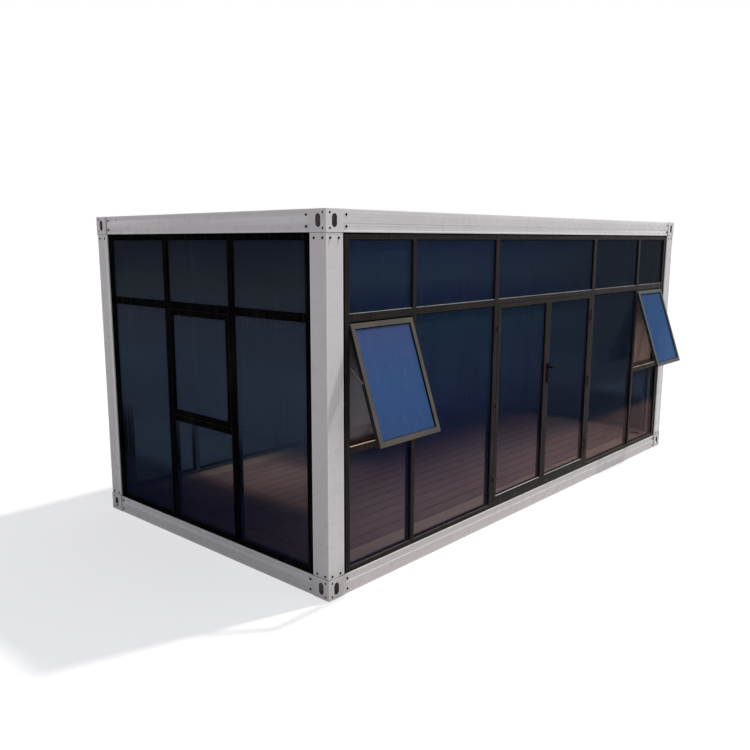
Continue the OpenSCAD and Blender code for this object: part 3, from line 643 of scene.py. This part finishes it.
def dark_hardware():
    """Satin black of the lever, its plate and the bolt heads, with a trace of dust."""
    material, t, shader = new_material("dark_hardware")
    t.put(shader.inputs["Base Color"], t.lay(coat(t, HARDWARE_TONES, 30.0), DUST_AND_HIGHLIGHT, dust_and_highlight_mask(t, 40.0), 0.02))
    uneven_sheen(t, shader, 120.0, smooth=-0.8, rough=1.9)
    set_shader(shader, Specular_IOR_Level=0.02)
    return material


def fly_mesh():
    """Dark aluminium frame of the fly screens, and the woven mesh in it, lighter on the right window as
    painted sunlight.
    """
    material, t, shader = new_material("fly_mesh")
    low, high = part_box("fly_screens")
    place = t.split(t.place())
    off = t.maths("ABSOLUTE", t.maths("SUBTRACT", place[1], (low.y + high.y) / 2))
    mesh = t.between(off, MESH_HALF + 0.0003, MESH_HALF + 0.0001)
    threads = [t.maths("SINE", t.maths("MULTIPLY", place[i], 2 * math.pi / MESH_PITCH)) for i in (0, 2)]
    woven = t.between(t.maths("MAXIMUM", *threads), MESH_OPEN - 0.05, MESH_OPEN + 0.05)
    # threads painted lighter on the right window, as sunlight
    threads_and_painted_sun = t.mix(t.between(place[0], -1.0, 1.0), coat(t, THREAD_TONES, 3.0), SUNLIT_RIGHT_THREADS)
    t.put(shader.inputs["Base Color"], t.mix(mesh, coat(t, SCREEN_FRAME_TONES, 6.0), threads_and_painted_sun))
    t.put(shader.inputs["Alpha"], t.maths("MAXIMUM", woven, t.maths("SUBTRACT", 1.0, mesh)))
    uneven_sheen(t, shader, 40.0, smooth=-1.0, rough=1.6)
    set_shader(shader, Specular_IOR_Level=0.05)
    return material


def floor_wood():
    """Red-brown decking: grain along each board, a tone for every board, lighter boards by the walls."""
    material, t, shader = new_material("floor_wood")
    tone = t.add("Attribute", attribute_name="board_tone").outputs["Fac"]
    grain = t.noise(t.stretched(t.place(), (1.2, 22.0, 22.0)), 4.0, 7.0, 0.6)
    colour = t.mix(t.between(grain, 0.3, 0.7), PALE_GRAIN, DARK_GRAIN)
    colour = t.lay(colour, DARK_BOARD, tone, 0.45)
    colour = t.lay(colour, WORN_WOOD, t.between(t.noise(t.place(), 1.3, 4.0), 0.45, 0.75), 0.22)
    from_wall = distance_in(t, 1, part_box("floor_panel")[1].y)
    border = t.between(from_wall, BORDER_WIDTH + 0.004, BORDER_WIDTH + 0.003)
    t.put(shader.inputs["Base Color"], t.lay(colour, BORDER_WOOD, border, 0.75))
    t.put(shader.inputs["Roughness"], t.between(grain, -1.2, 1.5))
    set_shader(shader, Specular_IOR_Level=0.3)
    bump(t, shader, grain, distance=0.001, strength=0.6)
    return material


# what a pane's face lets through where it has no film
CLEAR = (0.45, 0.505, 0.565, 1.0)
CLEAR_SASH = (0.40, 0.50, 0.65, 1.0)

# a film's tint at each height, with painted reflections of the surroundings and painted shade
FRONT_TINT_AND_REFLECTIONS = ((0.30, (0.040, 0.043, 0.076, 1.0)), (0.88, (0.016, 0.026, 0.068, 1.0)),
              (1.15, (0.011, 0.018, 0.053, 1.0)), (1.55, (0.016, 0.028, 0.061, 1.0)),
              (1.90, (0.015, 0.034, 0.062, 1.0)), (2.12, (0.011, 0.020, 0.053, 1.0)),
              (2.30, (0.022, 0.037, 0.066, 1.0)), (2.55, (0.018, 0.031, 0.066, 1.0)))
FAR_TINT_AND_REFLECTIONS = ((0.58, (0.170, 0.100, 0.092, 1.0)), (0.68, (0.012, 0.018, 0.036, 1.0)),
            (0.95, (0.012, 0.018, 0.029, 1.0)), (2.55, (0.013, 0.018, 0.028, 1.0)))
END_TINT_AND_REFLECTIONS = ((0.55, (0.010, 0.014, 0.038, 1.0)), (0.75, (0.013, 0.022, 0.036, 1.0)),
            (1.05, (0.038, 0.054, 0.088, 1.0)), (1.60, (0.043, 0.064, 0.100, 1.0)),
            (1.95, (0.043, 0.054, 0.082, 1.0)), (2.20, (0.038, 0.048, 0.062, 1.0)),
            (2.55, (0.019, 0.024, 0.038, 1.0)))
FAR_END_TINT_AND_REFLECTIONS = ((0.55, (0.016, 0.026, 0.044, 1.0)), (2.55, (0.016, 0.026, 0.044, 1.0)))
SASH_TINT_AND_REFLECTIONS = ((1.20, (0.040, 0.087, 0.212, 1.0)), (1.60, (0.044, 0.096, 0.226, 1.0)),
             (1.85, (0.054, 0.092, 0.218, 1.0)), (1.98, (0.064, 0.090, 0.210, 1.0)))
FAR_SASH_TINT_AND_REFLECTIONS = ((1.20, (0.036, 0.090, 0.216, 1.0)), (2.00, (0.036, 0.090, 0.216, 1.0)))

# the film's share of what is seen, at each height, which also shapes the painted reflections; the rest is
# seen through the pane
FRONT_SHARE = ((0.90, 0.30), (1.20, 0.74))
END_SHARE = ((0.55, 0.62), (0.66, 0.25), (0.92, 0.28), (1.15, 0.74))
SASH_SHARE = ((1.0, 0.75), (2.0, 0.75))

FINISHES = {
    "white_steel": white_steel("white_steel", inside=False),
    "galvanised_steel": galvanised_steel(),
    "roof_paint": roof_paint(),
    "ceiling_paint": ceiling_paint(),
    "dark_frame": dark_frame("dark_frame", BAR_TONES, ledge_dust_and_highlight=0.55, specular=0.04),
    "tinted_glass": glass("tinted_glass", FRONT_TINT_AND_REFLECTIONS, FAR_TINT_AND_REFLECTIONS, CLEAR, FRONT_SHARE),
    "sash_glass": glass("sash_glass", SASH_TINT_AND_REFLECTIONS, FAR_SASH_TINT_AND_REFLECTIONS, CLEAR_SASH, SASH_SHARE, streaked=0.30),
    "fly_mesh": fly_mesh(),
    "rubber_seal": rubber(),
    "dark_hardware": dark_hardware(),
    "floor_wood": floor_wood(),
}

# the ends' bars and sill beads, painted near black as shade, with almost no ledge highlight
SHADED_END_FRAME = dark_frame("end_frame_painted_shade", SHADED_END_BAR_TONES, ledge_dust_and_highlight=0.02, specular=0.0)
SEAM_BEAD = seam_bead()
# sill beads in a grey painted highlight
HIGHLIGHT_SILL_BEAD = sill_bead_highlight()

# nodes whose finish isn't the one of their slot
OWN_FINISH = {name: finish for finish, names in (
    (SHADED_END_FRAME, ("left_mullions", "left_rails", "right_mullions", "right_rails", "end_sashes")),
    (glass("end_glass", END_TINT_AND_REFLECTIONS, FAR_END_TINT_AND_REFLECTIONS, CLEAR, END_SHARE),
     ("left_glass", "right_glass", "end_sash_glass")),
    (sash_frame(), ("front_left_sash", "front_right_sash")),
    (window_lining(), ("window_linings",)),
    (stay_steel(), ("window_stays",)),
    # hinges painted lighter against their own shade
    (dark_frame("hinge_coat_painted_light", LIGHTENED_HINGE_TONES, ledge_dust_and_highlight=0.2, specular=0.04),
     ("left_door_hinges", "right_door_hinges", "hinge_pins")),
    (white_steel("fitting_steel", inside=True), ("top_fittings", "bottom_fittings")),
) for name in names}

# width of the eased edges on the pieces of these slots
EASED = {"white_steel": 0.0012, "dark_frame": 0.0012, "dark_hardware": 0.0006}
FLAT_WITHIN = math.radians(1)
SHARP_FROM = math.radians(40)


def finish_cad_nodes():
    """Gives every node its finish, and takes the knife edge off the steel, the bars and the hardware."""
    for name, node in nodes.items():
        slot = node.material_slots[0].material.name
        node.material_slots[0].material = OWN_FINISH.get(name, FINISHES[slot])
        if slot in EASED:
            node.modifiers.new("Joined", "WELD").merge_threshold = SAME_POINT
            flat = node.modifiers.new("Flat faces", "DECIMATE")
            flat.decimate_type = "DISSOLVE"
            flat.angle_limit = FLAT_WITHIN
            edge = node.modifiers.new("Eased edges", "BEVEL")
            edge.width = EASED[slot]
            edge.segments = 2
            edge.limit_method = "ANGLE"
            edge.angle_limit = SHARP_FROM
            edge.harden_normals = True


finish_cad_nodes()
nodes["open_sash_glass"].visible_shadow = False    # clear enough to let the sun through


# ---- added pieces -----------------------------------------------------------

def new_piece(name, mesh, slot, body=CABIN, finish=None):
    """Turns a bmesh into a piece that rides on a body, with the slot's finish or its own."""
    data = bpy.data.meshes.new(name)
    mesh.to_mesh(data)
    mesh.free()
    piece = bpy.data.objects.new(name, data)
    bpy.context.scene.collection.objects.link(piece)
    data.materials.append(finish or FINISHES[slot])
    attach(piece, body)


def band(mesh, ring, other):
    """Faces between two rings that have as many corners."""
    following = ring[1:] + ring[:1]
    other_following = other[1:] + other[:1]
    return [mesh.faces.new(face) for face in zip(ring, following, other_following, other)]


def closed_block(mesh, rings):
    """Closed solid through a row of rings, from its first ring to its last."""
    faces = [face for ring, other in zip(rings, rings[1:]) for face in band(mesh, ring, other)]
    return faces + [mesh.faces.new(rings[0][::-1]), mesh.faces.new(rings[-1])]


def swept_section(mesh, start, end, section):
    """Sweeps a closed section, given as offsets, straight from start to end."""
    closed_block(mesh, [[mesh.verts.new(at + offset) for offset in section] for at in (start, end)])


def solids_of(node):
    """The separate solids of a node, each as the list of its corners."""
    mesh = bmesh.new()
    mesh.from_mesh(nodes[node].data)
    bmesh.ops.remove_doubles(mesh, verts=mesh.verts, dist=SAME_POINT)
    left = set(mesh.verts)
    solids = []
    while left:
        reached = [left.pop()]
        for vert in reached:
            for edge in vert.link_edges:
                other = edge.other_vert(vert)
                if other in left:
                    left.remove(other)
                    reached.append(other)
        solids.append(sorted((v.co.copy() for v in reached), key=tuple))
    mesh.free()
    return sorted(solids, key=lambda corners: tuple(sum(corners, Vector()) / len(corners)))


class Pane:
    """A flat pane's middle, its level, outward and upright directions, and its size along each."""

    def __init__(self, corners):
        self.middle = sum(corners, Vector()) / len(corners)
        low = min(corners, key=lambda c: (round(c.z, 4), round(c.x, 4), round(c.y, 4)))
        edges = sorted((c - low for c in corners if (c - low).length > SAME_POINT), key=lambda e: e.length)
        self.thick = edges[0].length
        thin = edges[0].normalized()
        self.out = thin if thin.dot(Vector((self.middle.x, self.middle.y, 0))) > 0 else -thin
        self.level = Vector((-self.out.y, self.out.x, 0)).normalized()
        self.up = self.out.cross(self.level)
        self.wide = 2 * max(abs((c - self.middle).dot(self.level)) for c in corners)
        self.tall = 2 * max(abs((c - self.middle).dot(self.up)) for c in corners)

    def point(self, across, upwards, outwards):
        return self.middle + self.level * across + self.up * upwards + self.out * outwards


def panes_of(glass_nodes):
    """Every pane of some nodes, in turn."""
    return [Pane(corners) for node in glass_nodes for corners in solids_of(node)]


# section of the rubber strip: in from the bar's edge, and proud of the glass
STRIP = ((0.0, 0.0), (0.0, 0.0045), (0.0025, 0.0045), (0.0048, 0.0030), (0.0055, 0.0))


def rubber_strip(mesh, pane, side):
    """Sweeps the strip's section round one face of a pane: side 1 is outside, -1 inside."""
    rings = []
    wide, tall = pane.wide - 2 * GLASS_BITE, pane.tall - 2 * GLASS_BITE
    for inwards, proud in STRIP:
        x, z = wide / 2 - inwards, tall / 2 - inwards
        y = side * (pane.thick / 2 + proud)
        rings.append([mesh.verts.new(pane.point(sx * x, sz * z, y))
                      for sx, sz in ((-1, -1), (1, -1), (1, 1), (-1, 1))])
    for ring, other in zip(rings, rings[1:] + rings[:1]):
        band(mesh, ring, other)


def glazing_rubber(name, glass_nodes, body=CABIN):
    """Black rubber strip round both faces of every pane."""
    mesh = bmesh.new()
    for pane in panes_of(glass_nodes):
        for side in (-1, 1):
            rubber_strip(mesh, pane, side)
    bmesh.ops.recalc_face_normals(mesh, faces=mesh.faces)
    new_piece(name, mesh, "rubber_seal", body)


BEAD_RISE = 0.003                  # height of a sill bead at the glass
BEAD_EDGE = 0.001                  # and at its foot
BEAD_SETBACK = 0.0015              # its foot lies this far behind the bar's face


def sill_beads(name, glass_nodes, body=CABIN, finish=HIGHLIGHT_SILL_BEAD):
    """Sloping bead on the rail below every pane, outside the glass."""
    mesh = bmesh.new()
    for pane in panes_of(glass_nodes):
        foot = -pane.tall / 2 + GLASS_BITE
        half = pane.wide / 2 - GLASS_BITE
        back = pane.thick / 2
        front = back + glass_reveal - BEAD_SETBACK
        section = ((foot, back), (foot, front), (foot + BEAD_EDGE, front), (foot + BEAD_RISE, back))
        closed_block(mesh, [[mesh.verts.new(pane.point(s * half, z, y)) for z, y in section]
                            for s in (-1, 1)])
    bmesh.ops.recalc_face_normals(mesh, faces=mesh.faces)
    new_piece(name, mesh, "dark_frame", body, finish)


def on_side(side):
    """Turns a wall drawn at y = 0 facing -Y to side 0 front, 1 left, 2 back, 3 right."""
    reach = half_width if side % 2 == 0 else half_length
    turn = Matrix.Rotation(math.radians((0, -90, 180, 90)[side]), 4, "Z")
    return turn @ Matrix.Translation((0, -reach, 0))


def wall_half(side):
    """Half the length of a side's wall."""
    return half_length if side % 2 == 0 else half_width


SEAM_STEPS = 5                     # flats round a sealant bead
SEAM_SETBACK = 0.0005              # it stays this far behind the fittings' faces


def seam_beads():
    """Rounded sealant beads where the posts and beams meet the corner fittings."""
    mesh = bmesh.new()
    radius = steel_recess - SEAM_SETBACK
    angles = [i * math.pi / 2 / SEAM_STEPS for i in range(SEAM_STEPS + 1)]
    arc = [(radius * math.cos(angle), radius * math.sin(angle)) for angle in angles]
    beams = (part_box("bottom_beam_front"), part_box("top_beam_front"))
    for side in range(4):
        wall = on_side(side)
        turn = wall.to_3x3()
        out = turn @ Vector((0, -1, 0))
        for s in (-1, 1):
            inner = s * (wall_half(side) - fitting_width)
            outer = s * (wall_half(side) - steel_recess)
            seams = [((inner, low.z), (inner, high.z), turn @ Vector((-s, 0, 0))) for low, high in beams]
            seams += [((inner, z), (outer, z), Vector((0, 0, up)))
                      for z, up in ((post_low.z, 1), (post_high.z, -1))]
            for start, end, away in seams:
                ends = [wall @ Vector((x, steel_recess, z)) for x, z in (start, end)]
                section = [away * a + out * b for a, b in arc] + [Vector()]
                swept_section(mesh, *ends, section)
    bmesh.ops.recalc_face_normals(mesh, faces=mesh.faces)
    new_piece("seam_beads", mesh, "white_steel", finish=SEAM_BEAD)


# outline of a bolt's head: distance from its axis, and height
HEAD = ((0.0100, 0.0), (0.0100, 0.0009), (0.0090, 0.0022), (0.0068, 0.0032), (0.0052, 0.0036))
HEAD_SIDES = 24
SOCKET_RADIUS = 0.0042             # to the socket's corners
SOCKET_FLOOR = 0.0010              # above the steel


def bolt_head(mesh, place, direction):
    """Dome head with a six-sided socket."""
    turn = direction.to_track_quat("Z", "Y").to_matrix()
    angles = [i * 2 * math.pi / HEAD_SIDES for i in range(HEAD_SIDES)]
    to_flat = SOCKET_RADIUS * math.cos(math.pi / 6)
    socket = [to_flat / math.cos(angle % (math.pi / 3) - math.pi / 6) for angle in angles]
    rings = [([radius] * HEAD_SIDES, z) for radius, z in HEAD]
    rings += [(socket, z) for z in (HEAD[-1][1], SOCKET_FLOOR)]
    closed_block(mesh, [[mesh.verts.new(place + turn @ Vector((r * math.cos(a), r * math.sin(a), z)))
                         for r, a in zip(radii, angles)] for radii, z in rings])


def frame_bolts():
    """Black bolt heads on every post and beam."""
    mesh = bmesh.new()
    posts = (post_low.z + POST_BOLT_LOW, post_high.z - POST_BOLT_HIGH)
    boxes = (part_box("bottom_beam_front"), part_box("top_beam_front"))
    beams = [(low.z + high.z) / 2 + s * BEAM_BOLT_Z for low, high in boxes for s in (-1, 1)]
    for side in range(4):
        wall = on_side(side)
        out = wall.to_3x3() @ Vector((0, -1, 0))
        spots = [(wall_half(side) - bolt, z) for bolt in POST_BOLTS for z in posts]
        spots += [(wall_half(side) - fitting_width - BEAM_BOLT_IN, z) for z in beams]
        for x, z in spots:
            for s in (-1, 1):
                bolt_head(mesh, wall @ Vector((s * x, steel_recess, z)), out)
    new_piece("frame_bolts", mesh, "dark_hardware")


BOARD_WIDTH = 0.140
BOARD_GAP = 0.007
BOARD_THICK = 0.008
BOARD_EASE = 0.0015                # the upper edges are eased by this much
BOARD_LENGTH = 2.4
SHORTEST_BOARD = 0.5               # a row's last joint leaves at least this much
FIRST_JOINT = 0.6                  # a row's first joint is this far in, or more
JOINT_SPREAD = 2.7                 # by up to this much more
JOINT_STEP = 0.37                  # share of the spread by which each row's joint moves on
BORDER_CHANGE = 0.2                # the border's boards differ less than the others


def corners_at(mesh, low, high, z, inset=0.0):
    """Corners of a board at a height, drawn in by an inset."""
    x0, y0 = low.x + inset, low.y + inset
    x1, y1 = high.x - inset, high.y - inset
    return [mesh.verts.new((x, y, z)) for x, y in ((x0, y0), (x1, y0), (x1, y1), (x0, y1))]


def floor_board(mesh, low_x, low_y, high_x, high_y, tone):
    """Board on the floor panel, with eased upper edges and its own tone."""
    layer = mesh.faces.layers.float.get("board_tone") or mesh.faces.layers.float.new("board_tone")
    low = Vector((low_x, low_y, floor_level))
    high = Vector((high_x, high_y, floor_level + BOARD_THICK))
    rings = [corners_at(mesh, low, high, low.z), corners_at(mesh, low, high, high.z - BOARD_EASE),
             corners_at(mesh, low, high, high.z, BOARD_EASE)]
    for face in closed_block(mesh, rings):
        face[layer] = tone


def board_joints(row, inner_x):
    """Where a row's boards meet, from end to end; the joints of neighbouring rows are staggered."""
    first = -inner_x + JOINT_SPREAD * ((row * JOINT_STEP) % 1.0) + FIRST_JOINT
    second = first + BOARD_LENGTH
    if second < inner_x - SHORTEST_BOARD:
        return [-inner_x, first, second, inner_x]
    return [-inner_x, first, inner_x]


def floor_boards():
    """Boards along the cabin with staggered end joints, inside a border of boards."""
    mesh = bmesh.new()
    chance = random.Random(7)
    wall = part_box("floor_panel")[1]
    x_end = half_length - fitting_width
    y_end = half_width - fitting_width
    inner_x = wall.x - BORDER_WIDTH - BOARD_GAP
    inner_y = wall.y - BORDER_WIDTH - BOARD_GAP
    for s in (-1, 1):
        y0, y1 = sorted((s * wall.y, s * (wall.y - BORDER_WIDTH)))
        floor_board(mesh, -x_end, y0, x_end, y1, chance.random() * BORDER_CHANGE)
        x0, x1 = sorted((s * wall.x, s * (wall.x - BORDER_WIDTH)))
        floor_board(mesh, x0, -y_end, x1, y_end, chance.random() * BORDER_CHANGE)
    count = round((2 * inner_y + BOARD_GAP) / (BOARD_WIDTH + BOARD_GAP))
    pitch = (2 * inner_y + BOARD_GAP) / count
    for row in range(count):
        y = -inner_y + row * pitch
        joints = board_joints(row, inner_x)
        for x0, x1 in zip(joints, joints[1:]):
            floor_board(mesh, x0, y, x1 - BOARD_GAP / 2, y + pitch - BOARD_GAP, chance.random())
    new_piece("floor_boards", mesh, "floor_wood")


glazing_rubber("wall_glazing_rubber", ["front_glass", "back_glass", "left_glass", "right_glass",
                                       "end_sash_glass", "open_sash_glass"])
glazing_rubber("left_door_rubber", ["left_door_glass"], LEFT_LEAF)
glazing_rubber("right_door_rubber", ["right_door_glass"], RIGHT_LEAF)
sill_beads("wall_sill_beads", ["front_glass", "back_glass"])
sill_beads("end_sill_beads", ["left_glass", "right_glass"], finish=SHADED_END_FRAME)
sill_beads("left_door_sill_bead", ["left_door_glass"], LEFT_LEAF)
sill_beads("right_door_sill_bead", ["right_door_glass"], RIGHT_LEAF)
seam_beads()
frame_bolts()
floor_boards()


# ---- light, ground and camera -----------------------------------------------

SKY_LIGHT = (0.405, 0.42, 0.472, 1.0)
GROUND_BOUNCE = (0.50, 0.49, 0.48, 1.0)
GROUND_GLOW = 0.62                 # share of the ground's look that no shadow darkens
GROUND_REACH = 400.0
GROUND_BELOW = 0.001               # the ground lies this far below the cabin


def shown_to_eye(t):
    """1 for what the camera sees, also in gloss and through glass."""
    path = t.add("LightPath").outputs
    seen = t.maths("MAXIMUM", path["Is Camera Ray"], path["Is Glossy Ray"])
    return t.maths("MAXIMUM", seen, path["Is Transmission Ray"])


def world_light():
    """Even light from all round, and a white background."""
    world = bpy.data.worlds.new("studio")
    world.use_nodes = True
    world.node_tree.nodes.clear()
    t = Tree(world.node_tree)
    back = t.add("Background")
    t.put(back.inputs["Color"], t.mix(shown_to_eye(t), SKY_LIGHT, WHITE))
    t.put(t.add("OutputWorld").inputs["Surface"], back.outputs[0])
    bpy.context.scene.world = world


def ground_material():
    """Pale ground that shows white and keeps the cabin's shadow."""
    material = bpy.data.materials.new("studio_floor")
    material.use_nodes = True
    material.node_tree.nodes.clear()
    t = Tree(material.node_tree)
    bounce = t.add("BsdfDiffuse")
    bounce.inputs["Color"].default_value = GROUND_BOUNCE
    lit = t.add("BsdfDiffuse")
    lit.inputs["Color"].default_value = WHITE
    glow = t.add("Emission")
    shown = t.add("MixShader")
    shown.inputs["Fac"].default_value = GROUND_GLOW
    t.put(shown.inputs[1], lit.outputs[0])
    t.put(shown.inputs[2], glow.outputs[0])
    either = t.add("MixShader")
    t.put(either.inputs["Fac"], shown_to_eye(t))
    t.put(either.inputs[1], bounce.outputs[0])
    t.put(either.inputs[2], shown.outputs[0])
    t.put(t.add("OutputMaterial").inputs["Surface"], either.outputs[0])
    return material


def studio_floor():
    """Wide flat ground just below the cabin."""
    data = bpy.data.meshes.new("studio_floor")
    corners = [(sx * GROUND_REACH, sy * GROUND_REACH, -GROUND_BELOW)
               for sx, sy in ((-1, -1), (1, -1), (1, 1), (-1, 1))]
    data.from_pydata(corners, [], [(0, 1, 2, 3)])
    data.materials.append(ground_material())
    ground = bpy.data.objects.new("studio_floor", data)
    bpy.context.scene.collection.objects.link(ground)


def distant_light(name, source, strength, softness, colour):
    """Light from far away that comes from a direction, with shadows softer at a wider angle."""
    data = bpy.data.lights.new(name, "SUN")
    data.energy = strength
    data.angle = math.radians(softness)
    data.color = colour
    lamp = bpy.data.objects.new(name, data)
    lamp.rotation_euler = source.to_track_quat("Z", "Y").to_euler()
    bpy.context.scene.collection.objects.link(lamp)


LAMP_DROP = 0.06                   # below the ceiling


def room_light(name, middle, size, spread, power):
    """Soft light under the ceiling."""
    data = bpy.data.lights.new(name, "AREA")
    data.shape = "RECTANGLE"
    data.size, data.size_y = size
    data.spread = math.radians(spread)
    data.energy = power
    lamp = bpy.data.objects.new(name, data)
    lamp.location = (*middle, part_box("ceiling_panel")[0].z - LAMP_DROP)
    lamp.visible_camera = False
    lamp.visible_glossy = False
    lamp.visible_transmission = False
    bpy.context.scene.collection.objects.link(lamp)


EYE = Vector((-6.7131, -5.22549, 2.58702))
HEADING = math.radians(47.24)      # from +Y towards +X
DIP = math.radians(10.14)          # below level
LEAN = math.radians(-0.03)         # about the line of sight
LENS = 37.1875                     # millimetres, as is the sensor
SENSOR = 36.0
SHIFT = (0.02209, 0.00537)


def camera():
    """Camera out from the front left corner, a little below the roof, looking slightly down."""
    data = bpy.data.cameras.new("camera")
    data.sensor_width = SENSOR
    data.lens = LENS
    data.shift_x, data.shift_y = SHIFT
    data.clip_end = 1000.0
    eye = bpy.data.objects.new("camera", data)
    level = math.cos(DIP)
    ahead = Vector((math.sin(HEADING) * level, math.cos(HEADING) * level, -math.sin(DIP)))
    turn = ahead.to_track_quat("-Z", "Y").to_matrix().to_4x4() @ Matrix.Rotation(LEAN, 4, "Z")
    eye.matrix_world = Matrix.Translation(EYE) @ turn
    bpy.context.scene.collection.objects.link(eye)
    bpy.context.scene.camera = eye


world_light()
studio_floor()
distant_light("key", Vector((3.20, -1.00, 4.70)), strength=2.9, softness=3, colour=(1.0, 0.985, 0.965))
distant_light("fill", Vector((0.80, -1.00, 0.35)), strength=0.85, softness=100, colour=(0.97, 0.985, 1.0))
room_light("door_side", (0.0, -1.0), size=(2 * half_length - 0.3, 0.3), spread=75, power=55.0)
room_light("back_corner", (-1.5, 0.8), size=(1.0, 0.6), spread=46, power=9.0)
camera()
bpy.context.scene.view_settings.view_transform = "Standard"
